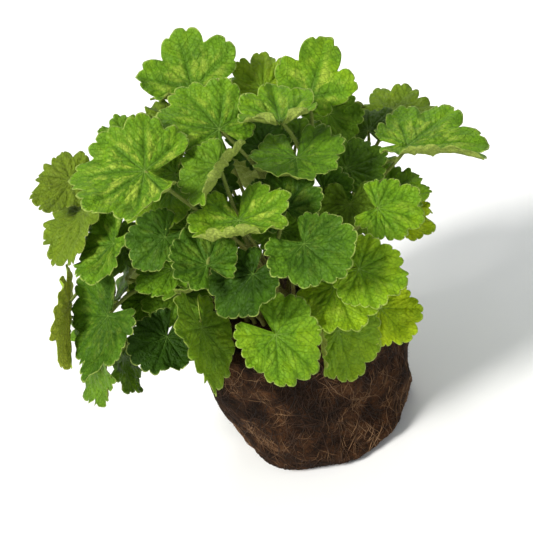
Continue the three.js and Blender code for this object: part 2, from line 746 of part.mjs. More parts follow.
// a closed mesh made a solid, turned the right way out
function orientedSolid(positions, faces) {
  const build = (indices) => new wasm.Manifold(new wasm.Mesh({
    numProp: 3,
    vertProperties: new Float32Array(positions),
    triVerts: new Uint32Array(indices),
  }));
  const solid = build(faces);
  if (solid.volume() > 0) return solid;
  const turned = [];
  for (let index = 0; index < faces.length; index += 3) {
    turned.push(faces[index], faces[index + 2], faces[index + 1]);
  }
  return build(turned);
}

// a curve through the stalk's points, one extrusion step to each
class StalkCurve extends THREE.Curve {
  constructor(points) {
    super();
    this.points = points;
  }

  getPoint(share, target = vector(0, 0, 0)) {
    const place = Math.min(share, 1) * (this.points.length - 1);
    const index = Math.min(Math.floor(place), this.points.length - 2);
    return target.copy(this.points[index]).lerp(this.points[index + 1], place - index);
  }

  getUtoTmapping(share) {
    return share;
  }
}

function ring(radius, sides) {
  const shape = new THREE.Shape();
  for (let index = 0; index < sides; index += 1) {
    const angle = 2 * Math.PI * index / sides;
    const method = index === 0 ? 'moveTo' : 'lineTo';
    shape[method](radius * Math.cos(angle), radius * Math.sin(angle));
  }
  shape.closePath();
  return shape;
}

function stalkSolid(leaf) {
  return solidOf(new THREE.ExtrudeGeometry(ring(stalk.radius, stalk.sides), {
    steps: leaf.path.length - 1,
    bevelEnabled: false,
    extrudePath: new StalkCurve(leaf.path),
  }));
}

// uneven side of the ball, from its height and heading
function lumps(heading, z) {
  return Math.sin(3 * heading + z / 17) + 0.8 * Math.sin(5 * heading - z / 11 + 1.3)
    + 0.5 * Math.sin(9 * heading + z / 6 + 2.1);
}

function ballGeometry() {
  const { topRadius, baseRadius, height: tall, corner, rim, bands, sides } = ball;
  const slope = (topRadius - baseRadius) / tall;
  const profile = [
    [0, 0], [baseRadius - corner, 0], [baseRadius - corner * 0.35, corner * 0.22],
    [baseRadius - corner * 0.02, corner * 0.75],
    ...bands.map((share) => [baseRadius + slope * share * tall, share * tall]),
    [topRadius - rim * 0.22, tall - 2], [topRadius - rim, tall], [stalk.outerRing + 12, tall], [0, tall],
  ];
  const geometry = new THREE.LatheGeometry(profile.map(([r, z]) => new THREE.Vector2(r, z)), sides);
  geometry.rotateX(Math.PI / 2);
  const place = geometry.attributes.position;
  for (let index = 0; index < place.count; index += 1) {
    const [x, y, z] = [place.getX(index), place.getY(index), place.getZ(index)];
    const radius = Math.hypot(x, y);
    if (z > 0.5 && radius > stalk.outerRing + 20) {
      const moved = 1 + ball.lump * lumps(Math.atan2(y, x), z) / radius;
      place.setXYZ(index, x * moved, y * moved, z);
    }
  }
  return geometry;
}

function prism(radius, sides, x, y, bottom, top) {
  const geometry = new THREE.CylinderGeometry(radius, radius, top - bottom, sides);
  geometry.rotateX(Math.PI / 2);
  geometry.translate(x, y, (top + bottom) / 2);
  return solidOf(geometry);
}

function ballSolid(leaves) {
  let solid = solidOf(ballGeometry());
  const over = ball.height + 5;
  const under = ball.height - stalk.sink - gap;
  for (const foot of new Set(leaves.map((leaf) => leaf.foot))) {
    solid = solid.subtract(prism(stalk.hole, stalk.holeSides, foot.x, foot.y, under, over));
  }
  return solid.subtract(prism(stock.hole, stock.sides, 0, 0, ball.height - stock.sink - gap, over));
}

function stockSolid() {
  const { radius, rise, sink, sides } = stock;
  const profile = [[0, -sink], [radius, -sink], [radius, 2], [radius * 0.8, rise * 0.6], [0, rise]];
  const trunk = new THREE.LatheGeometry(profile.map(([r, z]) => new THREE.Vector2(r, z)), sides);
  trunk.rotateX(Math.PI / 2);
  trunk.translate(0, 0, ball.height);
  let solid = solidOf(trunk);
  for (let index = 0; index < bud.count; index += 1) {
    const turn = 2 * Math.PI * index / bud.count + bud.turn;
    const cone = new THREE.ConeGeometry(bud.radius, bud.length, bud.sides);
    cone.rotateX(Math.PI / 2);
    cone.translate(radius * 0.5 * Math.cos(turn), radius * 0.5 * Math.sin(turn), ball.height + rise * 0.75);
    solid = solid.add(solidOf(cone));
  }
  return solid;
}

// ---------------------------------------------------------------- the plant

const finishes = {
  soil: { color: 0x3d2a1f, roughness: 0.95, metalness: 0 },
  wood: { color: 0x5b4630, roughness: 0.85, metalness: 0 },
  leaf: { color: 0x5f9a2b, roughness: 0.55, metalness: 0 },
};

function pieceMesh(name, solid, finish) {
  const mesh = new THREE.Mesh(geometryOf(solid), new THREE.MeshStandardMaterial(finishes[finish]));
  mesh.name = name;
  return mesh;
}

const leaves = grownLeaves();
settleBlades(leaves);
plantFeet(leaves);
routeStalks(leaves);

const plant = new THREE.Group();
plant.add(pieceMesh('root_ball', ballSolid(leaves), 'soil'));
plant.add(pieceMesh('crown', stockSolid(), 'wood'));
const grown = new Map();
leaves.forEach((leaf, index) => {
  const single = `leaf_${String(index + 1).padStart(2, '0')}`;
  const name = leaf.spray === null ? single : `young_leaves_${leaf.spray + 1}`;
  const solid = bladeSolid(leaf).add(stalkSolid(leaf));
  grown.set(name, grown.has(name) ? grown.get(name).add(solid) : solid);
});
grown.forEach((solid, name) => plant.add(pieceMesh(name, solid, 'leaf')));

export default plant;
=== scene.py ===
import itertools
import math

import bpy
import numpy as np
from mathutils import Matrix, Vector


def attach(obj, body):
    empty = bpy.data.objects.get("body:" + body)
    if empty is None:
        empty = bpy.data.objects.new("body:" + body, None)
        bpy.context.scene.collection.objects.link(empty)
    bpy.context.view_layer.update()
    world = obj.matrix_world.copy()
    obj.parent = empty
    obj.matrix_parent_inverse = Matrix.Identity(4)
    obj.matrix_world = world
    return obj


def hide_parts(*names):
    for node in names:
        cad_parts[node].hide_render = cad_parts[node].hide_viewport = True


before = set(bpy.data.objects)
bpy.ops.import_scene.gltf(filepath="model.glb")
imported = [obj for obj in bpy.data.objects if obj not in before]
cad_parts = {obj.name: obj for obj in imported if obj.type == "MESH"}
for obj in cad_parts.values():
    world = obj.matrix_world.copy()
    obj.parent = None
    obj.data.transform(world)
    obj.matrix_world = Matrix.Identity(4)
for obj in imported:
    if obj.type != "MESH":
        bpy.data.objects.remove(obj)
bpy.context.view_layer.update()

# A heuchera in full leaf on its bare root ball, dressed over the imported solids. Sizes are in
# millimetres until a mesh is made. Upright is +Z, and the side looked at is -Y.
mm = 0.001
upward = np.array([0.0, 0.0, 1.0])

# Factors that make the fraction of a sine as good as random, and the angle of a whole draw
scatter = dict(place=(127.1, 311.7, 74.7), seed=19.19, gain=43758.5453, turn=6.3)


def draw(seed, index):
    # fraction of gain * sin(seed * place 0 + index * place 1): a repeatable draw from 0 to 1
    value = math.sin(seed * scatter["place"][0] + index * scatter["place"][1]) * scatter["gain"]
    return value - math.floor(value)


def phase(leaf, index):
    # turn * a draw of the leaf's own
    return scatter["turn"] * draw(leaf["seed"], index)


def unit(vectors):
    # vector / length
    return vectors / np.maximum(np.linalg.norm(vectors, axis=-1, keepdims=True), 1e-9)


def ramp(low, high, value):
    # 3 s^2 - 2 s^3 of the share s of the way from low to high
    share = np.clip((value - low) / (high - low), 0, 1)
    return share * share * (3 - 2 * share)


def softNoise(points, size, seed=0):
    # corner values of a lattice, each the fraction of a large sine of its place, blended by
    # 3 s^2 - 2 s^3 along each axis; from -1 to 1
    place = points / size
    corner = np.floor(place)
    share = place - corner
    share = share * share * (3 - 2 * share)
    total = 0
    for step in itertools.product((0, 1), repeat=3):
        lattice = (corner + step) @ np.array(scatter["place"]) + seed * scatter["seed"]
        value = np.sin(lattice) * scatter["gain"]
        weight = np.prod(np.where(np.array(step) == 1, share, 1 - share), axis=-1)
        total = total + weight * (value - np.floor(value))
    return 2 * total - 1


# The window through which the front leaves are placed, which is the camera's own: distance from
# eye to target, raised and lean in degrees, step: millimetres to a window step, middle: steps
# from the window's edge to its middle, sensor in millimetres, far in metres
view = dict(distance=580, raised=28, lean=20, step=0.64, middle=266.5, target=(-5, 0, 125), sensor=36, far=50)


def windowFrame():
    # right = level * cos(lean) - upright * sin(lean), up = level * sin(lean) + upright * cos(lean),
    # eye = target + eyeward * distance
    raised, lean = math.radians(view["raised"]), math.radians(view["lean"])
    eyeward = np.array([0, -math.cos(raised), math.sin(raised)])
    level = np.array([1.0, 0, 0])
    upright = np.array([0, math.sin(raised), math.cos(raised)])
    right = level * math.cos(lean) - upright * math.sin(lean)
    up = level * math.sin(lean) + upright * math.cos(lean)
    target = np.array(view["target"], float)
    return right, up, eyeward, target, target + eyeward * view["distance"]


windowRight, windowUp, eyeward, target, eye = windowFrame()


def placeCamera():
    # the window's axes are the camera's, and the lens takes in 2 * middle steps at the target
    camera = bpy.data.objects.new("camera", bpy.data.cameras.new("camera"))
    turned = np.stack([windowRight, windowUp, eyeward], 1)
    camera.matrix_world = Matrix.Translation(Vector(eye * mm)) @ Matrix(turned.tolist()).to_4x4()
    camera.data.sensor_width = view["sensor"]
    camera.data.lens = view["sensor"] * view["distance"] / (2 * view["middle"] * view["step"])
    camera.data.clip_end = view["far"]
    bpy.context.collection.objects.link(camera)
    bpy.context.scene.camera = camera


# Lamps and floor in metres
studio = dict(
    floor=20, floorColor=(0.9, 0.9, 0.89), floorRoughness=0.9, world=(0.93, 0.97, 1.0), worldStrength=0.45,
    lamps=[
        dict(name="keyLamp", kind="SUN", at=(-0.9, -0.55, 1.1), size=0.35, power=3.9,
             color=(1.0, 0.98, 0.95)),
        dict(name="fillLamp", kind="AREA", at=(1.0, -1.1, 0.6), size=1.0, power=4.0,
             color=(0.96, 0.98, 1.0)),
        dict(name="backLamp", kind="AREA", at=(0.4, 1.1, 1.2), size=0.8, power=6.0,
             color=(1.0, 1.0, 0.95)),
    ],
)


def placeStudio():
    # a wide pale floor, a pale sky and three soft lamps that all point at the plant
    finish, tree, shader = newFinish("paleFloor")
    wired(tree, shader, {"Base Color": (*studio["floorColor"], 1), "Roughness": studio["floorRoughness"]})
    corners = studio["floor"] / 2 * np.array([(-1, -1, 0), (1, -1, 0), (1, 1, 0), (-1, 1, 0)])
    floor = makeMesh("studioFloor", finish, corners, [(0, 1, 2), (0, 2, 3)], scale=1)
    sky = bpy.data.worlds.new("paleSky")
    sky.use_nodes = True
    wired(sky.node_tree, sky.node_tree.nodes["Background"],
          {"Color": (*studio["world"], 1), "Strength": studio["worldStrength"]})
    bpy.context.scene.world = sky
    for lamp in studio["lamps"]:
        light = bpy.data.lights.new(lamp["name"], lamp["kind"])
        light.energy, light.color = lamp["power"], lamp["color"]
        setattr(light, "angle" if lamp["kind"] == "SUN" else "size", lamp["size"])
        stand = bpy.data.objects.new(lamp["name"], light)
        stand.location = lamp["at"]
        aim = Vector(target * mm) - Vector(lamp["at"])
        stand.rotation_euler = aim.to_track_quat("-Z", "Y").to_euler()
        bpy.context.collection.objects.link(stand)
    bpy.context.scene.view_settings.view_transform = "Standard"


def makeMesh(name, finish, points, faces, scale=mm, **values):
    # triangles from arrays in one finish, with one vector attribute for each further array
    points, faces = np.asarray(points, float) * scale, np.asarray(faces, np.int32)
    mesh = bpy.data.meshes.new(name)
    mesh.vertices.add(len(points))
    mesh.loops.add(faces.size)
    mesh.polygons.add(len(faces))
    mesh.vertices.foreach_set("co", points.astype(np.float32).ravel())
    mesh.loops.foreach_set("vertex_index", faces.ravel())
    mesh.polygons.foreach_set("loop_start", np.arange(0, faces.size, 3, dtype=np.int32))
    mesh.polygons.foreach_set("use_smooth", np.ones(len(faces), bool))
    for key, array in values.items():
        layer = mesh.attributes.new(key, "FLOAT_VECTOR", "POINT")
        layer.data.foreach_set("vector", np.asarray(array, np.float32).ravel())
    mesh.materials.append(finish)
    mesh.update()
    mesh.validate()
    piece = bpy.data.objects.new(name, mesh)
    bpy.context.collection.objects.link(piece)
    return piece


def turnedOut(points, faces):
    # the sum of a . (b x c) over the triangles is negative where they face inwards
    a, b, c = (points[faces[:, index]] for index in range(3))
    return faces if (a * np.cross(b, c)).sum() > 0 else faces[:, ::-1]


def joined(parts):
    # parts are (points, faces, values...) and their faces are renumbered one after the other
    starts = np.cumsum([0] + [len(part[0]) for part in parts[:-1]])
    faces = np.concatenate([part[1] + start for part, start in zip(parts, starts)])
    columns = [np.concatenate(column) for index, column in enumerate(zip(*parts)) if index != 1]
    return columns[0], faces, *columns[1:]


def copies(points, faces):
    # the same faces for each of many sets of points
    starts = np.arange(len(points)) * points.shape[1]
    return points.reshape(-1, 3), (faces + starts[:, None, None]).reshape(-1, 3)


def evenTurns(count):
    # 2 pi * index / count
    return 2 * np.pi * np.arange(count) / count


def polar(radius, angle):
    # radius * cos, radius * sin
    return radius * np.cos(angle), radius * np.sin(angle)


def outward(heading):
    # (cos, sin, 0)
    return np.stack([np.cos(heading), np.sin(heading), np.zeros_like(heading)], -1)


def ringRound(n, b, sides):
    # cos * n + sin * b at even turns
    turn = evenTurns(sides)[:, None]
    return np.cos(turn) * n[..., None, :] + np.sin(turn) * b[..., None, :]


def closedFaces(steps, sides):
    # two triangles to each cell between the rings, and a fan at each end to its middle point; the
    # two middle points come after the rings
    step, side = (array.ravel() for array in np.mgrid[0:steps - 1, 0:sides])
    low, lowAfter = step * sides + side, step * sides + (side + 1) % sides
    cellsOut = np.stack([low, lowAfter, low + sides, lowAfter, lowAfter + sides, low + sides], -1)
    side = np.arange(sides)
    after, last = (side + 1) % sides, (steps - 1) * sides
    start = np.stack([np.full(sides, steps * sides), after, side], -1)
    end = np.stack([np.full(sides, steps * sides + 1), last + side, last + after], -1)
    return np.concatenate([cellsOut.reshape(-1, 3), start, end])


def tubes(paths, radii, refs, sides):
    # round each path point: point + radius * (cos * n + sin * b), n being the reference made
    # square to the path and b = path direction x n; both ends close on their own middle point
    count, steps = paths.shape[:2]
    ahead = unit(np.gradient(paths, axis=1))
    n = unit(refs - ahead * (refs * ahead).sum(-1, keepdims=True))
    ring = ringRound(n, np.cross(ahead, n), sides)
    walls = (paths[..., None, :] + radii[..., None, None] * ring).reshape(count, -1, 3)
    points = np.concatenate([walls, paths[:, :1], paths[:, -1:]], 1)
    return copies(points, closedFaces(steps, sides))


def spikes(feet, directions, lengths, radius):
    # three base corners round each foot and a tip at foot + direction * length; the side is
    # taken from a slanted upward, which no direction runs along
    directions = unit(directions)
    n = unit(np.cross(directions, upward + 0.01 * directions[:, ::-1] + 0.003))
    base = feet[:, None] + radius * ringRound(n, np.cross(directions, n), 3)
    points = np.concatenate([base, (feet + directions * lengths[:, None])[:, None]], 1)
    return copies(points, np.array([(0, 1, 3), (1, 2, 3), (2, 0, 3), (0, 2, 1)]))


# A finish is built from small functions that add nodes and give back the last one's socket
def newFinish(name):
    finish = bpy.data.materials.new(name)
    finish.use_nodes = True
    return finish, finish.node_tree, finish.node_tree.nodes["Principled BSDF"]


def wired(tree, node, inputs):
    # sockets are linked to the node's inputs, numbers are set on them
    for key, value in inputs.items():
        if isinstance(value, bpy.types.NodeSocket):
            tree.links.new(value, node.inputs[key])
        else:
            node.inputs[key].default_value = value
    return node


def added(tree, kind, output, inputs, **settings):
    # one output of a new node
    node = tree.nodes.new("ShaderNode" + kind)
    for key, value in settings.items():
        setattr(node, key, value)
    return wired(tree, node, inputs).outputs[output]


def compute(tree, operation, *values):
    # the operation on its values
    return added(tree, "Math", 0, dict(enumerate(values)), operation=operation)


def times(tree, first, *others):
    # first * second * third ...
    for value in others:
        first = compute(tree, "MULTIPLY", first, value)
    return first


def sloped(tree, value, slope, start):
    # value * slope + start
    return compute(tree, "MULTIPLY_ADD", value, slope, start)


def within(tree, value, low, high, start=0.0, end=1.0):
    # from start to end while value goes from low to high, by 3 s^2 - 2 s^3
    inputs = {"Value": value, "From Min": low, "From Max": high, "To Min": start, "To Max": end}
    return added(tree, "MapRange", "Result", inputs, interpolation_type="SMOOTHSTEP")


def blend(tree, share, first, second):
    # first * (1 - share) + second * share, for colours
    first, second = ((*color, 1) if isinstance(color, tuple) else color for color in (first, second))
    return added(tree, "Mix", 2, {"Factor": share, 6: first, 7: second}, data_type="RGBA")


def painted(tree, color, paint, **masks):
    # each coat (how much of it, colour) is laid by its mask over the ones before
    for name, mask in masks.items():
        share, coat = paint[name]
        color = blend(tree, times(tree, mask, share), color, coat)
    return color


def tones(tree, share, stops):
    # the colour at share on a ramp of (place, colour) stops
    node = wired(tree, tree.nodes.new("ShaderNodeValToRGB"), {"Fac": share})
    points = node.color_ramp.elements
    while len(points) < len(stops):
        points.new(0.5)
    for point, (place, color) in zip(points, stops):
        point.position, point.color = place, (*color, 1)
    return node.outputs["Color"]


def axes(tree, vector):
    # its three numbers
    return wired(tree, tree.nodes.new("ShaderNodeSeparateXYZ"), {0: vector}).outputs


def named(tree, name):
    # a mesh's own attribute
    return added(tree, "Attribute", "Vector", {}, attribute_name=name)


def onObject(tree):
    # place in millimetres
    place = added(tree, "TexCoord", "Object", {})
    return added(tree, "VectorMath", 0, {0: place, "Scale": 1 / mm}, operation="SCALE")


def cloud(tree, place, size, detail=2.0, rough=0.5, warp=0.0):
    # noise whose blotches are about size across
    inputs = {"Vector": place, "Scale": 1 / size, "Detail": detail, "Roughness": rough, "Distortion": warp}
    return added(tree, "TexNoise", "Fac", inputs)


def cells(tree, place, size):
    # how far a place is from the nearest cell's edge
    inputs = {"Vector": place, "Scale": 1 / size}
    return added(tree, "TexVoronoi", "Distance", inputs, feature="DISTANCE_TO_EDGE")


def coated(tree, shader, paint, color, grit, height, roughness=None):
    # colour, roughness + gritRoughness * grit, gloss, and a bump whose distance is in millimetres
    start = paint["roughness"] if roughness is None else roughness
    bump = {"Strength": paint["bump"], "Distance": paint["bumpDistance"] * mm, "Height": height}
    wired(tree, shader, {
        "Base Color": color,
        "Roughness": sloped(tree, grit, paint["gritRoughness"], start),
        "Specular IOR Level": paint["specular"],
        "Normal": added(tree, "Bump", 0, bump),
    })


# Blades repeat the solids' own outline and bend. points: round the margin and in a row halfway
# out, fewer on a plain leaf; uneven: waves round the outline, as number, share of the size and
# draw; lobePower: how square the lobes are; curlSpan: the share of the size that a margin rolls over
blade = dict(
    thickness=0.7, points=(28, 10), plainPoints=(21, 8), notch=0.09, middle=0.5, middleEnd=0.89,
    uneven=((2, 0.05, 5), (3, 0.04, 6)), lobePower=2.4, waveGain=1.6, curlSpan=0.6,
)
plainLeaf = dict(
    cup=0.1, wave=0.06, droop=0.16, fold=0, long=0.17, lobes=7, open=156, curl=None, spray=None,
    plain=False, tone=(-0.1, 0.15, 0.1),
)


def leafAt(at, y, tip, face, size, depth, **form):
    # one leaf's dictionary. at: window steps across and down to where the stalk meets the blade,
    # y: how far back that is, tip: where the midrib points in the window, face: how far the upper
    # face is turned from the eye and where to, size: stalk to tip, depth: of the cuts between
    # lobes. In form, cup, wave, fold and droop are as in height, long and lobes as in outline, open:
    # degrees from midrib to notch, curl: where the margin rolls up, from how far out and by how
    # many degrees, plain: fewer points, spray: which one it is in, tone: yellow and painted light
    # from -1, a dark bluish green, to 1, yellow green, partly the leaf's own colour, partly painted
    # shade on leaves that lie in shade and painted light on leaves that the light shines through,
    # then mottled for pale blotches, then olive for an old leaf's cast
    return dict(plainLeaf, at=at, y=y, tip=tip, face=face, size=size, depth=depth, **form)


# The first tone of a leaf is partly its own colour, partly painted shade that darkens leaves lying in shade,
# and partly painted light that yellows leaves the light shines through
seenLeaves = [
    leafAt((193, 86), 20, 106, (35, 95), 38, 0.25, cup=0.2, long=0.2, lobes=5, open=150,
           curl=(180, 0, 150), tone=(0.1, 0.6, 0)),
    leafAt((221, 131), -16, 137, (34, 95), 36, 0.13, cup=0.16, wave=0.1, long=0.3, open=156,
           curl=(180, 0.05, -85), tone=(0.05, 0.6, 0)),
    leafAt((145, 172), -43, 180, (38, 100), 41, 0.15, wave=0.1, open=150, curl=(-130, 0.3, 95),
           tone=(0.15, 0.95, 0)),
    leafAt((174, 172), -16, 228, (50, 135), 39, 0.12, wave=0.05, tone=(0.4, 0.4, 0)),
    leafAt((205, 178), 9, 245, (35, 130), 29, 0.16, plain=True, tone=(-0.6, 0.1, 0)),
    leafAt((166, 238), -48, 222, (38, 140), 22.5, 0.1, fold=0.22, tone=(-0.55, 0.1, 0)),
    leafAt((208, 265), -72, 116, (24, 100), 23.5, 0.1, cup=0.32, open=158, tone=(-0.4, 0.2, 0)),
    leafAt((239, 221), -62, 284, (54, 100), 30, 0.16, cup=0.25, long=0.08, open=166,
           curl=(6, 0.42, 110), tone=(0.42, 0.9, 0)),
    leafAt((286, 207), -52, 100, (18, 100), 25.5, 0.12, cup=0.16, wave=0.12, open=152, tone=(-0.85, 0.2, 0)),
    leafAt((297, 160), -24, 274, (62, 100), 31, 0.14, cup=0.2, long=0.06, open=168, curl=(20, 0.8, 40),
           tone=(-0.1, 0.2, 0)),
    leafAt((280, 121), -26, 105, (52, 95), 28.5, 0.18, cup=0.3, open=164, curl=(180, 0, 115),
           tone=(0.2, 0.6, 0)),
    leafAt((310, 97), 6, 76, (14, 90), 35.5, 0.34, long=0.36, wave=0.08, lobes=5, open=166,
           tone=(0.2, 0.9, 0)),
    leafAt((390, 112), 50, 14, (64, 95), 32.5, 0.18, plain=True, tone=(0.15, 0.2, 0.6)),
    leafAt((368, 131), 28, 96, (35, 100), 24, 0.16, cup=0.15, plain=True, tone=(-0.3, 0, 0.2)),
    leafAt((408, 146), -18, 4, (66, 90), 50, 0.18, long=0.3, fold=0.2, open=160, curl=(92, 0.5, 70),
           tone=(0.05, 0.6, 0)),
    leafAt((378, 208), -58, 345, (24, 80), 24, 0.15, cup=0.14, wave=0.09, long=0.2, open=142,
           tone=(0.3, 0.4, 0)),
    leafAt((396, 213), -24, 340, (40, 80), 24, 0.18, tone=(1.2, 0.2, 0.1)),
    leafAt((304, 244), -84, 322, (36, 112), 29, 0.12, long=0.2, wave=0.1, open=152, tone=(-0.35, 0.2, 0)),
    leafAt((359, 269), -86, 340, (10, 100), 24.5, 0.1, cup=0.14, wave=0.08, open=162, tone=(0.5, 0.3, 0)),
    leafAt((335, 286), -72, 296, (24, 100), 29, 0.12, cup=0.08, wave=0.08, tone=(0.6, 0.45, 0)),
    leafAt((380, 309), -64, 318, (15, 60), 24.5, 0.12, cup=0.08, wave=0.06, tone=(1.3, 0.1, 0)),
    leafAt((276, 335), -90, 320, (8, 100), 27, 0.09, cup=0.08, wave=0.07, long=0.1, open=162,
           tone=(0.3, 0.15, 0)),
    leafAt((338, 330), -76, 284, (38, 340), 30, 0.1, open=165, curl=(100, 0.22, 115), tone=(0.5, 0.15, 0.2)),
    leafAt((253, 275), -80, 234, (40, 146), 27.5, 0.11, cup=0.1, wave=0.08, long=0.24, open=160,
           tone=(-0.95, 0, 0)),
    leafAt((167, 337), -60, 252, (18, 100), 24, 0.08, cup=0.34, wave=0.07, open=171, tone=(-1.2, 0, 0)),
    leafAt((204, 326), -70, 284, (64, 15), 35, 0.11, cup=0.06, wave=0.05, tone=(0.4, 0.15, 0.15)),
    leafAt((108, 316), -46, 230, (48, 172), 36, 0.16, cup=0.16, wave=0.13, open=152, tone=(-0.6, 0.2, 0)),
    leafAt((70, 305), -14, 272, (103, 177), 40, 0.13, plain=True, tone=(1.05, 0.3, 0)),
    leafAt((113, 243), -22, 226, (54, 146), 29, 0.1, cup=0.14, wave=0.12, fold=0.2, open=150,
           tone=(0.1, 0.4, 0)),
    leafAt((73, 182), 34, 200, (38, 110), 27.5, 0.18, wave=0.08, tone=(0.2, 0.3, 0.8)),
    leafAt((82, 212), 12, 240, (64, 150), 38, 0.15, wave=0.07, tone=(0.1, 0.3, 0.7)),
    leafAt((92, 349), -16, 268, (66, 195), 38, 0.15, plain=True),
    leafAt((123, 356), -20, 276, (70, 15), 27, 0.15, plain=True),
    leafAt((204, 279), -50, 192, (97, 96), 27, 0.12, cup=0.06, plain=True),
    leafAt((219, 165), -46, 236, (48, 125), 26, 0.12, cup=0.14, curl=(-90, 0.1, 110)),
    leafAt((262, 146), -2, 120, (30, 95), 24, 0.16, cup=0.14, plain=True, tone=(-0.5, 0, 0)),
    leafAt((264, 96), 28, 88, (30, 95), 25, 0.18, plain=True, tone=(0.5, 0.4, 0.3)),
    leafAt((169, 128), 4, 122, (44, 100), 22, 0.16, plain=True, tone=(0.1, 0.3, 0.6)),
    leafAt((328, 118), 22, 322, (22, 80), 23, 0.14, cup=0.12, plain=True),
    leafAt((322, 188), -22, 330, (20, 100), 20, 0.14, cup=0.12, plain=True, tone=(-0.4, 0, 0)),
    leafAt((346, 168), -12, 20, (30, 100), 24, 0.14, cup=0.12, plain=True, tone=(-0.4, 0, 0.1)),
    leafAt((388, 195), -12, 2, (44, 100), 26, 0.16, cup=0.12, plain=True, tone=(0.2, 0.2, 0.1)),
    leafAt((350, 204), -38, 268, (20, 100), 23, 0.14, plain=True, tone=(-0.2, 0, 0.4)),
    leafAt((174, 272), -34, 205, (35, 110), 24, 0.14, plain=True, tone=(-0.1, 0.1, 0)),
]

# Young leaves inside the rosette, in two sprays
innerLeaves = [
    leafAt((180, 293), -26, 250, (30, 110), 24, 0.16, plain=True, spray=0),
    leafAt((128, 248), 4, 215, (30, 110), 24, 0.16, plain=True, spray=0),
    leafAt((146, 298), -12, 215, (30, 110), 20, 0.16, plain=True, spray=0),
    leafAt((190, 228), -26, 225, (25, 110), 20, 0.16, plain=True, spray=0),
    leafAt((296, 142), 6, 80, (30, 95), 20, 0.16, plain=True, spray=1),
    leafAt((246, 216), -8, 250, (25, 100), 22, 0.16, plain=True, spray=1),
    leafAt((281, 230), -34, 285, (25, 100), 21, 0.16, plain=True, spray=1),
    leafAt((125, 141), 4, 108, (35, 100), 19, 0.16, plain=True, spray=0),
]

# The far side, ring by ring: tilt from upright, start and span of headings, in degrees. Leaves
# sit on a dome of reach and rise over its foot, and spread and least are for their own draws
farRings = [
    dict(tilt=34, count=2, size=31, start=62, span=62),
    dict(tilt=58, count=4, size=34, start=36, span=92),
    dict(tilt=78, count=6, size=34, start=12, span=165),
]
dome = dict(
    foot=122, reach=92, rise=135, faceShare=0.62, seed=80, ringSeeds=10, headingSpread=14, tiltSpread=10,
    leastSize=0.85, sizeSpread=0.3, leastDepth=0.16, depthSpread=0.1,
)


def poseInWindow(leaf):
    # the sight line through the window place, cut at the leaf's own y; midrib and face are the
    # window angles tip and face turned into space
    across, down = leaf["at"]
    onWindow = (target + windowRight * (across - view["middle"]) * view["step"]
                + windowUp * (view["middle"] - down) * view["step"])
    sight = onWindow - eye
    at = eye + sight * (leaf["y"] - eye[1]) / sight[1]
    toEye = unit(eye - at)
    side = unit(windowRight - toEye * (windowRight @ toEye))
    above = np.cross(toEye, side)
    slant, toward = np.radians(leaf["face"])
    tip = math.radians(leaf["tip"])
    face = (side * math.sin(slant) * math.cos(toward) + above * math.sin(slant) * math.sin(toward)
            + toEye * math.cos(slant))
    along = side * math.cos(tip) + above * math.sin(tip) - toEye * math.tan(slant) * math.cos(tip - toward)
    return dict(at=at, along=unit(along), face=face)


def poseOnDome(tilt, heading):
    # at = (reach * sin(tilt) outwards, foot + rise * cos(tilt)); the face leans out by a share of tilt
    lean, turn = math.radians(tilt), math.radians(heading)
    out = np.array([math.cos(turn), math.sin(turn), 0])
    faceLean = lean * dome["faceShare"]
    return dict(
        at=out * dome["reach"] * math.sin(lean) + upward * (dome["foot"] + dome["rise"] * math.cos(lean)),
        along=out * math.cos(faceLean) - upward * math.sin(faceLean),
        face=out * math.sin(faceLean) + upward * math.cos(faceLean),
    )


def farLeaves():
    # count leaves spread over each ring's span, each moved a little by its own draws
    leaves = []
    for row, ring in enumerate(farRings):
        for index in range(ring["count"]):
            seed = dome["seed"] + row * dome["ringSeeds"] + index
            even = index / (ring["count"] - 1)
            heading = ring["start"] + ring["span"] * even + dome["headingSpread"] * (draw(seed, 1) - 0.5)
            tilt = ring["tilt"] + dome["tiltSpread"] * (draw(seed, 2) - 0.5)
            size = ring["size"] * (dome["leastSize"] + dome["sizeSpread"] * draw(seed, 3))
            depth = dome["leastDepth"] + dome["depthSpread"] * draw(seed, 4)
            leaves.append(dict(plainLeaf, **poseOnDome(tilt, heading), size=size, depth=depth, plain=True))
    return leaves


def grownLeaves():
    # the same order as the solids', which each leaf's own draws go by
    seen, inner = ([dict(leaf, **poseInWindow(leaf)) for leaf in kind] for kind in (seenLeaves, innerLeaves))
    leaves = seen + farLeaves() + inner
    for index, leaf in enumerate(leaves):
        leaf["seed"] = index + 1
        single = f"leaf_{index + 1:02d}"
        leaf["node"] = single if leaf["spray"] is None else f"young_leaves_{leaf['spray'] + 1}"
    return leaves


def outline(leaf, angle):
    # size * (1 - long + long * cos(angle)) * (1 - depth * |share of the lobe's half|^lobePower),
    # made uneven by slow waves, and past the last lobe a straight edge down to the notch
    degrees = np.degrees(angle)
    waves = (deep * np.sin(count * angle + phase(leaf, index)) for count, deep, index in blade["uneven"])
    whole = leaf["size"] * (1 - leaf["long"] + leaf["long"] * np.cos(angle)) * sum(waves, 1)
    corner = 1 - leaf["depth"]
    past = np.maximum(np.abs(degrees) - leaf["open"], 0)
    gape = math.sin(math.radians(180 - leaf["open"]))
    reach = corner * np.sin(np.radians(past)) + blade["notch"] * np.sin(np.abs(angle))
    notched = corner * blade["notch"] * gape / np.maximum(reach, 1e-9)
    half = leaf["open"] / leaf["lobes"]
    fromMiddle = degrees - 2 * half * np.round(degrees / (2 * half))
    lobed = 1 - leaf["depth"] * np.abs(fromMiddle / half) ** blade["lobePower"]
    return whole * np.where(np.abs(degrees) >= leaf["open"], notched, lobed)


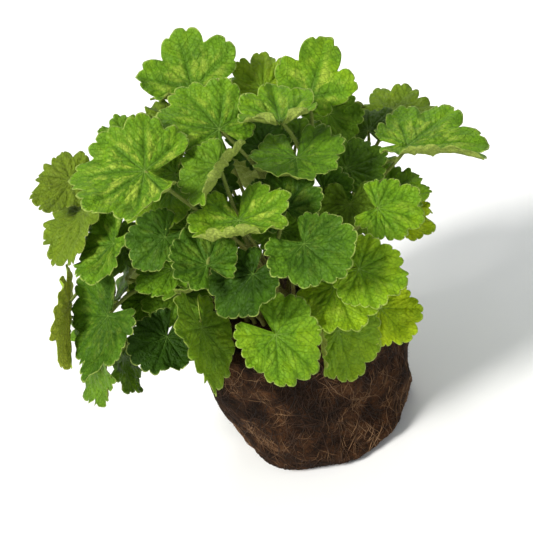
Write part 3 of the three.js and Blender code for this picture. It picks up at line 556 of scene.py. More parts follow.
def height(leaf, x, y):
    # size * (cup * reach^2 + wave * reach^3 * cos(n * angle) * waveGain + fold * |y| - droop * x^2),
    # with 2 or 3 waves by a draw
    reach = np.hypot(x, y) / leaf["size"]
    count = 2 + math.floor(draw(leaf["seed"], 8) + 0.5)
    waves = np.cos(count * np.arctan2(y, x) + phase(leaf, 7))
    droop = leaf["droop"] * np.maximum(0, x / leaf["size"]) ** 2
    fold = leaf["fold"] * np.abs(y / leaf["size"])
    wavy = leaf["wave"] * reach ** 3 * waves * blade["waveGain"]
    return leaf["size"] * (leaf["cup"] * reach ** 2 + wavy + fold - droop)


def bladePoints(leaf, x, y, over):
    # (x, y, height) + normal * over, then rolled round a line across the blade where it curls:
    # past -> radius * sin(bend), height -> radius - (radius - height) * cos(bend)
    step = 0.05
    slopeX = (height(leaf, x + step, y) - height(leaf, x - step, y)) / (2 * step)
    slopeY = (height(leaf, x, y + step) - height(leaf, x, y - step)) / (2 * step)
    normal = unit(np.stack([-slopeX, -slopeY, np.ones_like(slopeX)], -1))
    points = np.stack([x, y, height(leaf, x, y)], -1) + normal * np.asarray(over)[..., None]
    if leaf["curl"] is None:
        return points
    heading, start, most = leaf["curl"]
    cos, sin = math.cos(math.radians(heading)), math.sin(math.radians(heading))
    past = points[..., 0] * cos + points[..., 1] * sin - start * leaf["size"]
    outer = np.maximum(past, 1e-6)
    bend = math.radians(most) * np.minimum(1, outer / (blade["curlSpan"] * leaf["size"]))
    radius = outer / bend
    shift = (radius - points[..., 2]) * np.sin(bend) - outer
    rise = radius - (radius - points[..., 2]) * np.cos(bend)
    rolled = np.stack([points[..., 0] + shift * cos, points[..., 1] + shift * sin, rise], -1)
    return np.where((past > 0)[..., None], rolled, points)


def nodeCorners(name):
    # a solid's own corners
    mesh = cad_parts[name].data
    points = np.empty(len(mesh.vertices) * 3, np.float32)
    mesh.vertices.foreach_get("co", points)
    return np.unique(np.round(points.reshape(-1, 3).astype(float) / mm, 3), axis=0)


def bladeMarks(leaf):
    # the corners that the solid blade has round its margin and in a row halfway out, both faces
    around, middles = blade["plainPoints" if leaf["plain"] else "points"]
    parts = leaf["lobes"] * round(around / leaf["lobes"])
    rim = np.radians(leaf["open"] * np.linspace(-1, 1, parts + 1))
    row = np.radians(blade["middleEnd"] * leaf["open"] * np.linspace(-1, 1, middles))
    angle = np.concatenate([rim, row])
    radius = np.concatenate([outline(leaf, rim), blade["middle"] * outline(leaf, row)])
    x, y = polar(radius, angle)
    half = np.full(len(x), blade["thickness"] / 2)
    return np.concatenate([bladePoints(leaf, x, y, half), bladePoints(leaf, x, y, -half)])


def bestTurn(marks, found):
    # the turn (a mirrored one, as sideways = along x face) and shift of least squared distance
    middle, foundMiddle = marks.mean(0), found.mean(0)
    left, _, right = np.linalg.svd((marks - middle).T @ (found - foundMiddle))
    mirror = -np.sign(np.linalg.det(left @ right))
    turn = left @ np.diag([1, 1, mirror]) @ right
    return turn, foundMiddle - middle @ turn


# Turns to start from in radians, rounds for each, and the mean miss in millimetres that is enough
seating = dict(starts=(-0.3, 0, 0.3), rounds=40, enough=0.05)


def seatBlade(leaf, corners):
    # from where it was meant to be, the blade's marks are laid on the solid's nearest corners,
    # over and over; starts turned a little to each side are tried until the two meet
    marks = bladeMarks(leaf)
    home = np.array([leaf["along"], np.cross(leaf["along"], leaf["face"]), leaf["face"]])
    best = (math.inf, home, leaf["at"])
    for start in [(0, 0, 0), *itertools.product(seating["starts"], repeat=3)]:
        turns = [np.array(Matrix.Rotation(angle, 3, axis)) for angle, axis in zip(start, "XYZ")]
        turn, shift = turns[0] @ turns[1] @ turns[2] @ home, leaf["at"]
        for _ in range(seating["rounds"]):
            placed = marks @ turn + shift
            found = corners[((placed[:, None] - corners[None]) ** 2).sum(-1).argmin(1)]
            turn, shift = bestTurn(marks, found)
        miss = np.linalg.norm(marks @ turn + shift - found, axis=-1).mean()
        if miss < best[0]:
            best = (miss, turn, shift)
        if miss < seating["enough"]:
            break
    leaf["miss"], leaf["turn"], leaf["at"] = best
    leaf["along"], leaf["face"] = leaf["turn"][0], leaf["turn"][2]


# Stalks take one of the ways that the solids' stalks may take: swings aside and lifts up in
# millimetres, arrivals as shares of the midrib, of the face and of the straight way. Then the
# fine stalk: its steps and sides, and its radius along the way as shares of the solid's
stalk = dict(
    radius=1.25, steps=5, soil=100, start=1, sink=9, upright=0.33, arrival=0.36, leastRise=0.35,
    bite=0.3, reach=45, near=5, ringHeight=0.05,
    swings=[0, -8, 8, -12, 12, -16, 16, -24, 24, -26, 26, -34, 34, -46, 46, -60, 60],
    lifts=[-26, -16, -10, -8, 0, 8, 12, 16, 24, 28, 42],
    arrivals=[(0.5, 0.6, 0.8), (0.1, 0.4, 0.9), (0.3, 1, 0.4), (0.8, 0.6, 0.3), (0, 0.9, 0.1)],
    fineSteps=24, sides=8, footStep=4, slim=0.9, footSwell=0.35, endTaper=0.25, endFrom=0.94,
)


def stalkCurves(leaf, foot, swings, lifts, arrivals):
    # start over the foot, then up by a share of the span, then back from the blade along the way
    # the stalk arrives: the four points of a cubic curve, for each choice
    start = np.array([foot[0], foot[1], stalk["soil"] + stalk["start"]])
    straight = leaf["at"] - start
    span = np.linalg.norm(straight)
    side = unit(np.cross(upward, straight))
    bend = swings[:, None] * side + lifts[:, None] * upward
    arrive = unit(arrivals @ np.array([leaf["along"], leaf["face"], straight / span]))
    lack = np.maximum(0, stalk["leastRise"] - arrive @ leaf["face"])
    arrive = unit(arrive + lack[:, None] * leaf["face"])
    sunk = stalk["radius"] * np.linalg.norm(np.cross(arrive, leaf["face"]), axis=-1) - stalk["bite"]
    end = leaf["at"] - sunk[:, None] * leaf["face"]
    first = start + upward * stalk["upright"] * span + bend * 0.5
    second = end - arrive * stalk["arrival"] * span + bend
    return np.stack([np.broadcast_to(start, end.shape), first, second, end], 1)


def alongCurve(curves, share):
    # (1-t)^3 a + 3 (1-t)^2 t b + 3 (1-t) t^2 c + t^3 d
    t = np.asarray(share)[:, None]
    a, b, c, d = (curves[..., index, None, :] for index in range(4))
    return (1 - t) ** 3 * a + 3 * (1 - t) ** 2 * t * b + 3 * (1 - t) * t ** 2 * c + t ** 3 * d


def seatStalk(leaf, corners):
    # the foot is the middle of the solid's ring of corners under the soil; of the ways that a
    # stalk can take, the one whose points each have corners of the solid at the stalk's radius
    under = np.abs(corners[:, 2] - stalk["soil"] + stalk["sink"]) < stalk["ringHeight"]
    foot = corners[under & (np.hypot(corners[:, 0], corners[:, 1]) < stalk["reach"])].mean(0)
    choices = list(itertools.product(stalk["swings"], stalk["lifts"], stalk["arrivals"]))
    swings, lifts, arrivals = (np.array([choice[index] for choice in choices], float) for index in range(3))
    curves = stalkCurves(leaf, foot, swings, lifts, arrivals)
    shares = np.arange(1, stalk["steps"] - 1) / (stalk["steps"] - 1)
    distances = np.linalg.norm(alongCurve(curves, shares)[:, :, None] - corners, axis=-1)
    nearest = np.sort(distances, axis=-1)[..., :stalk["near"]]
    strays = np.abs(nearest - stalk["radius"]).mean((1, 2))
    leaf["curve"], leaf["stray"] = curves[strays.argmin()], strays.min()


# The fine blade: half its thickness, teeth to a lobe, main veins every lobeStep degrees and side
# veins every sideSpacing. In its relief, groove, rib, crumple, swell and sideWander are height and
# width, and From and To are the shares of the way out between which it grows. grid: points to a
# tooth and round the notch, and rings, fewer on a plain leaf
skin = dict(
    half=0.25, rimHalf=0.13, rimPower=8, teeth=3, toothDepth=0.075, toothRound=0.5, toothTip=0.08,
    toothShift=2.2, toothReach=6, lobeStep=48.1, sideSpacing=5.2, sideSlope=1.1, sideWander=(0.2, 8),
    groove=(0.35, 0.9), rib=(0.5, 0.8), ribPower=0.7, pillow=0.8, pillowFoot=0.7, pillowOff=2.4,
    pillowFromTo=(0.04, 0.3), calmFromTo=(0.8, 1), calm=0.6, puff=0.65, fromTo=(0.1, 0.5),
    crumple=(1.2, 5), swell=(1.3, 13), swellFromTo=(0.1, 0.6), ruffle=1.0, rufflePower=6,
    ruffles=(10.4, 21), quickRuffle=0.6, leafGap=9.7, grid=(8, 10, 18), plainGrid=(6, 8, 13),
    ringEase=0.85,
)


def evenPlace(leaf, x, y):
    # the blade spread to where its lobes are lobeStep apart, whatever their number and its notch
    angle, reach = np.degrees(np.arctan2(y, x)), np.hypot(x, y)
    end = skin["lobeStep"] * leaf["lobes"] / 2
    turned = np.radians(np.interp(np.abs(angle), [0, leaf["open"], 180], [0, end, 180])) * np.sign(angle)
    return polar(reach, turned)


def veinPlace(leaf, x, y):
    # aside = reach * sin, down = reach * cos of the angle to the nearest main vein
    angle, step = np.degrees(np.arctan2(y, x)), 2 * leaf["open"] / leaf["lobes"]
    last = (leaf["lobes"] - 1) / 2
    off = np.radians(angle - step * np.clip(np.round(angle / step), -last, last))
    reach = np.hypot(x, y)
    return reach * np.sin(off), reach * np.cos(off)


def ridge(size, off):
    # height * exp(-(off / width)^2)
    return size[0] * np.exp(-(off / size[1]) ** 2)


def relief(leaf, x, y, share):
    # each half lobe puffed up by a sine between its vein and its edge, quilted pillows between side
    # veins that leave the main veins in a herringbone, a groove on each main vein, soft crumples
    # and wider swells, and a ruffle that grows as share^rufflePower towards the margin
    aside, down = veinPlace(leaf, x, y)
    off = np.abs(aside)
    flat = np.stack([x, y, np.full_like(x, skin["leafGap"] * leaf["seed"])], -1)
    wander, crumple, swell = (skin[key][0] * softNoise(flat, skin[key][1], seed)
                              for key, seed in (("sideWander", 1), ("crumple", 2), ("swell", 4)))
    row = (down - skin["sideSlope"] * off) / skin["sideSpacing"] + 0.5 * (aside > 0) + wander
    pillow = skin["pillow"] * (np.sqrt(np.abs(np.sin(np.pi * row))) - skin["pillowFoot"])
    grown = ramp(*skin["pillowFromTo"], share) * (1 - skin["calm"] * ramp(*skin["calmFromTo"], share))
    outer = ramp(*skin["fromTo"], share)
    halfWidth = np.maximum(down, 1) * math.tan(math.radians(leaf["open"] / leaf["lobes"]))
    puff = np.sin(np.pi * np.minimum(off / halfWidth, 1)) * outer
    angle = np.arctan2(y, x)
    slow, quick = skin["ruffles"]
    ruffle = np.sin(slow * angle + phase(leaf, 9))
    ruffle = ruffle + skin["quickRuffle"] * np.sin(quick * angle + leaf["seed"])
    return (grown * (pillow * ramp(0, skin["pillowOff"], off) - ridge(skin["groove"], off))
            + skin["puff"] * puff + crumple * outer + swell * ramp(*skin["swellFromTo"], share)
            + skin["ruffle"] * ruffle * share ** skin["rufflePower"])


def bladeAngles(leaf, perTooth, notchSteps):
    # perTooth steps to a tooth, the teeth a little uneven, then round the notch to the first lobe
    count = skin["teeth"] * leaf["lobes"] * perTooth
    even = np.linspace(-1, 1, count + 1)[:-1]
    jitter = skin["toothShift"] * np.sin(11 * even + phase(leaf, 10)) * (1 - even ** 2)
    notch = np.linspace(leaf["open"], 360 - leaf["open"], notchSteps)[:-1]
    degrees = np.concatenate([leaf["open"] * even + jitter, notch])
    tooth = np.concatenate([np.arange(count) % perTooth / perTooth, np.zeros(len(notch))])
    return np.radians(np.where(degrees > 180, degrees - 360, degrees)), tooth


def bladeGrid(leaf):
    # radius = share * outline * (1 + toothDepth * arch * share^toothReach), where arch =
    # (4 t (1 - t))^toothRound - 0.5 over each tooth, and toothTip more at its tip
    perTooth, notchSteps, rings = skin["plainGrid" if leaf["plain"] else "grid"]
    angle, tooth = bladeAngles(leaf, perTooth, notchSteps)
    share = ((np.arange(1, rings + 1) / rings) ** skin["ringEase"])[:, None]
    arch = (4 * tooth * (1 - tooth)) ** skin["toothRound"] - 0.5 + skin["toothTip"] * (tooth == 0.5)
    inLobes = np.abs(np.degrees(angle)) < leaf["open"]
    toothed = 1 + skin["toothDepth"] * arch * inLobes * share ** skin["toothReach"]
    radius = share * outline(leaf, angle) * toothed
    share = np.broadcast_to(share, radius.shape)
    x, y, share = (np.concatenate([[0], values.ravel()]) for values in (*polar(radius, angle), share))
    return x, y, share, len(angle), rings


def discFaces(around, rings):
    # a fan round the middle point, then two triangles to each cell of the rings
    a = np.arange(around)
    after = (a + 1) % around
    fan = np.stack([np.zeros_like(a), 1 + a, 1 + after], -1)
    start = (1 + around * np.arange(rings - 1))[:, None]
    low, lowAfter = (start + a).ravel(), (start + after).ravel()
    cellsOut = np.stack([low, low + around, lowAfter, lowAfter, low + around, lowAfter + around], -1)
    return np.concatenate([fan, cellsOut.reshape(-1, 3)])


def looks(count, side=0.0, stem=0.0, hair=0.0):
    # what the finish tells faces, stalks and hairs by
    return np.tile([side, stem, hair], (count, 1))


def fineBlade(leaf):
    # upper and under faces at relief +- half the thickness, thinner at the margin, with ribs
    # under the main veins; a strip closes the margin
    x, y, share, around, rings = bladeGrid(leaf)
    bulge = relief(leaf, x, y, share)
    half = skin["half"] + (skin["rimHalf"] - skin["half"]) * share ** skin["rimPower"]
    off = np.abs(veinPlace(leaf, x, y)[0])
    rib = ridge(skin["rib"], off) * (1 - share) ** skin["ribPower"]
    upper = bladePoints(leaf, x, y, bulge + half)
    under = bladePoints(leaf, x, y, bulge - half - rib)
    count = len(x)
    disc = discFaces(around, rings)
    rim = 1 + (rings - 1) * around + np.arange(around)
    after = np.roll(rim, -1)
    strip = np.stack([rim, rim + count, after, after, rim + count, after + count], -1).reshape(-1, 3)
    points = np.concatenate([upper, under]) @ leaf["turn"] + leaf["at"]
    faces = turnedOut(points - leaf["at"], np.concatenate([disc, disc[:, ::-1] + count, strip]))
    place = np.tile(np.stack([*evenPlace(leaf, x, y), share], -1), (2, 1))
    look = np.concatenate([looks(count, side=1), looks(count)])
    return points, faces, place, look


def fineStalk(leaf):
    # a round tube on the solid's own curve, a little thicker at the foot, its end drawn in
    # where it melts into the blade
    t = np.linspace(0, 1, stalk["fineSteps"])
    curve = alongCurve(leaf["curve"][None], t)[0]
    foot = curve[0] - upward * np.array([[stalk["sink"]], [stalk["footStep"]]])
    path = np.concatenate([foot, curve])
    drawnIn = stalk["endTaper"] * ramp(stalk["endFrom"], 1, t)
    taper = stalk["slim"] + stalk["footSwell"] * (1 - t) ** 3 - drawnIn
    radius = stalk["radius"] * taper
    radius = np.concatenate([np.full(2, radius[0]), radius])
    ref = unit(np.cross(curve[-1] - curve[0], upward) + 1e-6)
    points, faces = tubes(path[None], radius[None], ref[None, None], stalk["sides"])
    share = np.concatenate([np.repeat(np.concatenate([[0, 0], t]), stalk["sides"]), [0, 1]])
    place = np.stack([share, np.zeros_like(share), np.zeros_like(share)], -1)
    return points, turnedOut(points - points.mean(0), faces), place, looks(len(points), stem=1)


# Hairs are fine three-sided points on margins, undersides and stalks: how many of each to a leaf,
# plainShare of them on a plain one, where they start, how long they are and how far they spread.
# inward, downward and onward: where a second point is taken for a direction
hair = dict(
    inward=0.96, downward=2, onward=0.01,
    radius=0.055, margin=220, under=90, stem=320, plainShare=0.3,
    underPlace=(0.2, 0.97), marginLength=0.6, marginUneven=(0.6, 1.4), marginSpread=0.6,
    stemPlace=(0.03, 0.96), stemLength=1.0, stemUneven=(0.5, 1.4), stemSpread=0.35, stemSeat=0.85,
)


def hairsOn(leaf):
    # on the margin they point outwards from a little further in, on the stalk straight out
    rng = np.random.default_rng(leaf["seed"])
    share = hair["plainShare"] if leaf["plain"] else 1
    edge, beneath, stem = (int(hair[key] * share) for key in ("margin", "under", "stem"))
    angle = np.radians(leaf["open"] * rng.uniform(-1, 1, edge + beneath))
    out = np.concatenate([np.ones(edge), rng.uniform(*hair["underPlace"], beneath)])
    radius = outline(leaf, angle) * out
    x, y = polar(radius, angle)
    bulge = relief(leaf, x, y, out)
    on = bladePoints(leaf, x, y, bulge - skin["half"] * (out < 1))
    inner = bladePoints(leaf, hair["inward"] * x, hair["inward"] * y, bulge)
    below = bladePoints(leaf, x, y, bulge - hair["downward"])
    aim = np.where((out == 1)[:, None], unit(on - inner), unit(below - on))
    aim = aim + hair["marginSpread"] * rng.uniform(-1, 1, aim.shape)
    length = hair["marginLength"] * rng.uniform(*hair["marginUneven"], len(on))
    blades = spikes(on @ leaf["turn"] + leaf["at"], aim @ leaf["turn"], length, hair["radius"])
    t = rng.uniform(*hair["stemPlace"], stem)
    curve = leaf["curve"][None]
    middle = alongCurve(curve, t)[0]
    ahead = unit(alongCurve(curve, t + hair["onward"])[0] - middle)
    around = unit(np.cross(ahead, rng.normal(size=middle.shape)))
    length = hair["stemLength"] * rng.uniform(*hair["stemUneven"], stem)
    aim = around + hair["stemSpread"] * rng.uniform(-1, 1, middle.shape)
    stems = spikes(middle + around * stalk["radius"] * hair["stemSeat"], aim, length, hair["radius"])
    parts = []
    for points, faces in (blades, stems):
        place = np.tile([0.0, 0.0, 1.0], (len(points), 1))
        parts.append((points, faces, place, looks(len(points), hair=1)))
    return parts


# Colours of the leaves. A coat is how much of a colour is laid on and the colour. tones: how far a
# mask moves the green along its ramp and back, where the quilt's tone is painted light, lighter in
# the middle of each raised pillow and darker at its edges; clouds: size in millimetres and detail;
# nets: size, and how far from a cell's edge the mask starts and is full; bumps: how far a mask
# raises the skin; ownSpread: of each leaf's own yellow, which is partly painted shade and painted
# light; main veins are veinWidth wide, less veinThins at the tip
leafPaint = dict(
    greens=[(0.0, (0.02, 0.055, 0.002)), (0.25, (0.052, 0.13, 0.005)), (0.5, (0.122, 0.262, 0.008)),
            (0.75, (0.23, 0.38, 0.006)), (1.0, (0.43, 0.58, 0.008))],
    ownTone=0.36, ownSpread=0.25, rimTone=0.1, veinWidth=0.42, veinThins=0.3,
    veinEdge=(1.0, 0.35), sideVeinEdge=(0.06, 0.015),
    tones=dict(patches=(0.5, 0.25), crumbs=(0.2, 0.1), quiltAndPaintedLight=(0.05, 0.02)),
    clouds=dict(patches=(11, 3), crumbs=(1.1, 3), wander=(6, 2), underPatches=(4, 4), rosyPatches=(9, 2)),
    nets=dict(net=(2.2, 0.1, 0.02), fineNet=(0.9, 0.16, 0.03), quiltAndPaintedLight=(4.6, 0.0, 0.34)), blotchSize=4.8,
    blotch=(1, (0.44, 0.56, 0.06)), shade=(1, (0.03, 0.095, 0.005)), net=(0.14, (0.035, 0.105, 0.006)),
    sideVein=(0.2, (0.035, 0.11, 0.006)), mainVein=(0.22, (0.05, 0.14, 0.01)),
    paleVein=(1, (0.2, 0.33, 0.05)), edge=(1, (0.4, 0.5, 0.11)), olive=(0.6, (0.15, 0.15, 0.01)),
    under=(0.2, 0.28, 0.035), underPatch=(1, (0.34, 0.42, 0.08)), lime=(0.7, (0.6, 0.68, 0.05)),
    rib=(0.6, (0.44, 0.5, 0.16)), underNet=(0.3, (0.13, 0.19, 0.025)),
    stem=(0.15, 0.2, 0.03), rosy=(1, (0.17, 0.08, 0.03)), stemStreak=(0.35, (0.27, 0.29, 0.1)),
    hair=(0.46, 0.53, 0.24), roughness=0.68, upperGloss=-0.24, gritRoughness=0.16, specular=0.13,
    bumps=dict(crumbs=0.8, net=-0.6, sideVein=-0.8, mainVein=-0.5, quiltAndPaintedLight=0.9), bump=0.9, bumpDistance=0.5,
)


def streaked(tree, aside, down, where):
    # noise place that is drawn out along the veins: (aside, 0.45 * down, 0.3 * height in space)
    above = times(tree, axes(tree, where)[2], 0.3)
    return added(tree, "CombineXYZ", 0, {0: aside, 1: times(tree, down, 0.45), 2: above})


def veinMasks(tree, where):
    # off is how far aside of the nearest main vein, down how far out along it, by the blade's own
    # angle and reach; main veins thin towards the tip, side veins leave them in a herringbone,
    # and nets are the edges of cells
    place = named(tree, "bladePlace")
    x, y, share = axes(tree, place)
    masks = {key: cloud(tree, where, *values) for key, values in leafPaint["clouds"].items()}
    for key, (size, low, high) in leafPaint["nets"].items():
        masks[key] = within(tree, cells(tree, place, size), low, high)
    step = math.radians(skin["lobeStep"])
    angle = compute(tree, "ARCTAN2", y, x)
    lobe = compute(tree, "ROUND", compute(tree, "DIVIDE", angle, step))
    lobe = compute(tree, "MINIMUM", compute(tree, "MAXIMUM", lobe, -3.0), 3.0)
    turn = compute(tree, "SUBTRACT", angle, times(tree, lobe, step))
    reach = compute(tree, "SQRT", compute(tree, "ADD", times(tree, x, x), times(tree, y, y)))
    aside = times(tree, reach, compute(tree, "SINE", turn))
    down = times(tree, reach, compute(tree, "COSINE", turn))
    off = compute(tree, "ABSOLUTE", aside)
    row = compute(tree, "DIVIDE", sloped(tree, off, -skin["sideSlope"], down), skin["sideSpacing"])
    row = sloped(tree, compute(tree, "GREATER_THAN", aside, 0.0), 0.5, row)
    row = sloped(tree, masks["wander"], 0.5, row)
    width = sloped(tree, share, -leafPaint["veinThins"], leafPaint["veinWidth"])
    return dict(
        masks, x=x, share=share, off=off,
        streak=cloud(tree, streaked(tree, aside, down, where), leafPaint["blotchSize"], 4, 0.62),
        mainVein=within(tree, compute(tree, "DIVIDE", off, width), *leafPaint["veinEdge"]),
        sideVein=within(tree, compute(tree, "PINGPONG", row, 0.5), *leafPaint["sideVeinEdge"]),
    )


def upperFace(tree, masks, yellowAndPaintedLight, mottled, olive):
    # green by tone, set by each leaf's yellow, which is partly painted shade and painted light, in
    # patches of bluer and yellower green, and lighter in the middle of each quilted pillow as painted
    # light; pale blotches streaked along the veins, grainy at their edges and cut up by the net;
    # darker along the veins, but paler on the main ones near the stalk; a pale margin; and olive over all
    off, share = masks["off"], masks["share"]
    # each leaf's own yellow sets the green: the leaf's own colour, with painted shade on leaves that lie in
    # shade and painted light on leaves that the light shines through
    tone = sloped(tree, yellowAndPaintedLight, leafPaint["ownTone"], leafPaint["ownTone"])
    tone = sloped(tree, within(tree, share, 0.2, 1.0), leafPaint["rimTone"], tone)
    # the quilt's tone here is painted light: lighter in the middle of each raised pillow, darker at its edges
    for key, (there, back) in leafPaint["tones"].items():
        tone = sloped(tree, masks[key], there, compute(tree, "SUBTRACT", tone, back))
    return painted(
        tree, tones(tree, tone, leafPaint["greens"]), leafPaint,
        blotch=times(
            tree, within(tree, masks["streak"], 0.44, 0.64), mottled, within(tree, off, 0.7, 3.0),
            within(tree, share, 0.96, 0.55, 0.05, 1.0), sloped(tree, masks["fineNet"], -0.35, 0.9),
        ),
        shade=times(tree, within(tree, off, 1.8, 0.2), within(tree, share, 1.0, 0.1, 0.0, 0.3),
                    within(tree, mottled, 0.25, 0.9, 0.25, 1.2)),
        net=masks["net"], sideVein=masks["sideVein"], mainVein=masks["mainVein"],
        paleVein=times(tree, masks["mainVein"], within(tree, share, 0.5, 0.0, 0.0, 0.65),
                       within(tree, yellowAndPaintedLight, -0.9, 0.1, 0.35, 1.0)),
        edge=times(tree, within(tree, share, 0.972, 0.992),
                   within(tree, masks["wander"], 0.3, 0.6, 0.25, 0.75)),
        olive=olive,
    )


def underFace(tree, masks, yellowAndPaintedLight):
    # pale olive in patches, limier where the leaf's yellow is high, which is partly painted light on leaves
    # that the light shines through, with paler veins
    return painted(
        tree, leafPaint["under"], leafPaint,
        underPatch=masks["underPatches"], lime=within(tree, yellowAndPaintedLight, 0.2, 1.0),
        rib=compute(tree, "MAXIMUM", masks["mainVein"], times(tree, masks["sideVein"], 0.6)),
        underNet=masks["net"],
    )


def stemColor(tree, masks):
    # from rosy at the foot to green, with fine streaks
    return painted(
        tree, leafPaint["stem"], leafPaint,
        rosy=times(tree, within(tree, masks["x"], 1.0, 0.0), masks["rosyPatches"]),
        stemStreak=within(tree, masks["crumbs"], 0.35, 0.7),
    )


def leafFinish():
    # one finish for both faces, stalks and hairs, which their own attributes choose between
    finish, tree, shader = newFinish("leafSkin")
    side, stem, hairy = axes(tree, named(tree, "leafLook"))
    # the first is each leaf's yellow, partly its own colour and partly painted shade and painted light
    yellowAndPaintedLight, mottled, olive = axes(tree, named(tree, "leafTone"))
    masks = veinMasks(tree, onObject(tree))
    upper = upperFace(tree, masks, yellowAndPaintedLight, mottled, olive)
    color = blend(tree, side, underFace(tree, masks, yellowAndPaintedLight), upper)
    color = blend(tree, stem, color, stemColor(tree, masks))
    color = blend(tree, hairy, color, leafPaint["hair"])
    height = 0.0
    for key, amount in leafPaint["bumps"].items():
        height = sloped(tree, masks[key], amount, height)
    roughness = sloped(tree, side, leafPaint["upperGloss"], leafPaint["roughness"])
    coated(tree, shader, leafPaint, color, masks["crumbs"], height, roughness)
    return finish


def dressLeaves(leaves):
    # one piece for each node, all with the one finish; each leaf's yellow, partly painted shade and painted
    # light, is moved by its own draw
    finish = leafFinish()
    for node in dict.fromkeys(leaf["node"] for leaf in leaves):
        parts = []
        for leaf in (leaf for leaf in leaves if leaf["node"] == node):
            own = leafPaint["ownSpread"] * (draw(leaf["seed"], 12) - 0.5)
            tone = np.array(leaf["tone"]) + (own, 0, 0)
            for part in [fineBlade(leaf), fineStalk(leaf), *hairsOn(leaf)]:
                parts.append((*part, np.tile(tone, (len(part[0]), 1))))
        points, faces, place, look, tone = joined(parts)
        piece = makeMesh("fine_" + node, finish, points, faces,
                         bladePlace=place, leafLook=look, leafTone=tone)
        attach(piece, "root")
        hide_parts(node)


# Root ball: the solid's own size, with crumbs of peat as (size, height), waves of lumps round it
# as (height, number, millimetres up to a turn, start), and its grid's rings and points round.
# cornerRise: the foot's corner as a share of its depth, rimDrop: how far down the rim starts,
# hollow: how far the middle of the flat foot stands off the ground
ball = dict(
    topRadius=70, baseRadius=62, height=100, corner=12, cornerRise=0.85, rim=9, rimDrop=5,
    lump=1.6, waves=[(1, 3, 17, 0), (0.8, 5, -11, 1.3), (0.5, 9, 6, 2.1)],
    crumbs=[(9, 0.9), (3.6, 0.55), (1.6, 0.3)], topCrumbs=1.4, hollow=0.35, hollowPower=6,
    around=300, down=96, inner=22, foot=14, innermost=0.02, footEdge=0.98, topEdge=0.985,
)


def lumps(heading, z):
    # waves round the ball that drift with height: deep * sin(count * heading + z / pitch + start)
    return sum(deep * np.sin(count * heading + z / pitch + start)
               for deep, count, pitch, start in ball["waves"])


def onRound(radius, heading, z):
    # (radius * cos, radius * sin, z)
    return radius[..., None] * outward(heading) + z[..., None] * upward


def ballSide(z):
    # base radius, then outwards in a straight slope; the lower corner is a quarter of an ellipse
    # and the upper rim a smaller one
    straight = ball["baseRadius"] + (ball["topRadius"] - ball["baseRadius"]) * z / ball["height"]
    low = np.clip(1 - z / (ball["cornerRise"] * ball["corner"]), 0, 1)
    high = np.clip(1 - (ball["height"] - z) / ball["rimDrop"], 0, 1)
    corner = ball["corner"] * (1 - np.sqrt(1 - low ** 2))
    return straight - corner - ball["rim"] * (1 - np.sqrt(1 - high ** 2))


def crumbled(points):
    # noise at three sizes, the coarse ones counting most
    return sum(deep * softNoise(points, size, index) for index, (size, deep) in enumerate(ball["crumbs"]))


def ballSurface(heading, z, lift=0.0):
    # (side radius + lumps + crumbs + lift) outwards at a heading and height
    radius = ballSide(z) + ball["lump"] * lumps(heading, z)
    return onRound(radius + crumbled(onRound(radius, heading, z)) + lift, heading, z)


def fineBall():
    # flat foot, side and soil are one grid of rings, closed by a fan at each pole
    heading = evenTurns(ball["around"])
    z = ball["height"] * ramp(0, 1, np.linspace(0, 1, ball["down"]))[:, None] * np.ones_like(heading)
    side = ballSurface(heading, z)
    foot = side[:1] * np.linspace(ball["innermost"], ball["footEdge"], ball["foot"])[:, None, None]
    foot[..., 2] = ball["hollow"] * (1 - np.linspace(0, 1, ball["foot"])[:, None] ** ball["hollowPower"])
    top = side[-1:] * np.linspace(ball["topEdge"], ball["innermost"], ball["inner"])[:, None, None]
    top[..., 2] = ball["height"] + ball["topCrumbs"] * crumbled(top * [1, 1, 0] + [0, 0, 7])
    grid = np.concatenate([foot, side, top])
    points = np.concatenate([grid.reshape(-1, 3), [[0, 0, ball["hollow"]], [0, 0, ball["height"]]]])
    return points, turnedOut(points, closedFaces(*grid.shape[:2]))


# Roots: two kinds with their number, lengths, radii, how much they wander and how pale they may
# be; where they start and stay in height, the angle that they set out at, and the share of them
# that slants the other way. Fibres are single short hairs between them
roots = dict(
    kinds=[
        dict(count=2300, length=(6, 32), thickness=(0.12, 0.36), wander=0.24, pale=0.5),
        dict(count=14, length=(40, 90), thickness=(0.35, 0.6), wander=0.08, pale=1.0),
    ],
    seed=7, segments=9, sides=3, starts=(12, 99), lowest=1.5, highest=97, radius=66, lift=(0.0, 0.4),
    heading=(1.2, 2.2), slantShare=0.25, slant=1.3, slim=0.35, ends=(0.08, 0.92),
)
fibres = dict(
    count=4200, length=2.6, uneven=(0.4, 1.5), radius=0.05, starts=(2, 98), sink=0.1, out=0.5, pale=0.5,
)


def rootWalks(rng, kind):
    # each step turns by a little of its own: z falls by sin, the heading moves by cos / radius
    count, steps = kind["count"], roots["segments"]
    turns = rng.uniform(*roots["heading"], (count, 1))
    turns = turns + kind["wander"] * np.cumsum(rng.normal(size=(count, steps)), 1)
    turns = np.where(rng.random((count, 1)) < roots["slantShare"], turns - roots["slant"], turns)
    stride = rng.uniform(*kind["length"], (count, 1)) / steps
    z = rng.uniform(*roots["starts"], (count, 1)) - np.cumsum(stride * np.sin(turns), 1)
    z = np.clip(z, roots["lowest"], roots["highest"])
    around = rng.uniform(0, 2 * np.pi, (count, 1)) + np.cumsum(stride * np.cos(turns) / roots["radius"], 1)
    return ballSurface(around, z, rng.uniform(*roots["lift"], (count, 1))), around


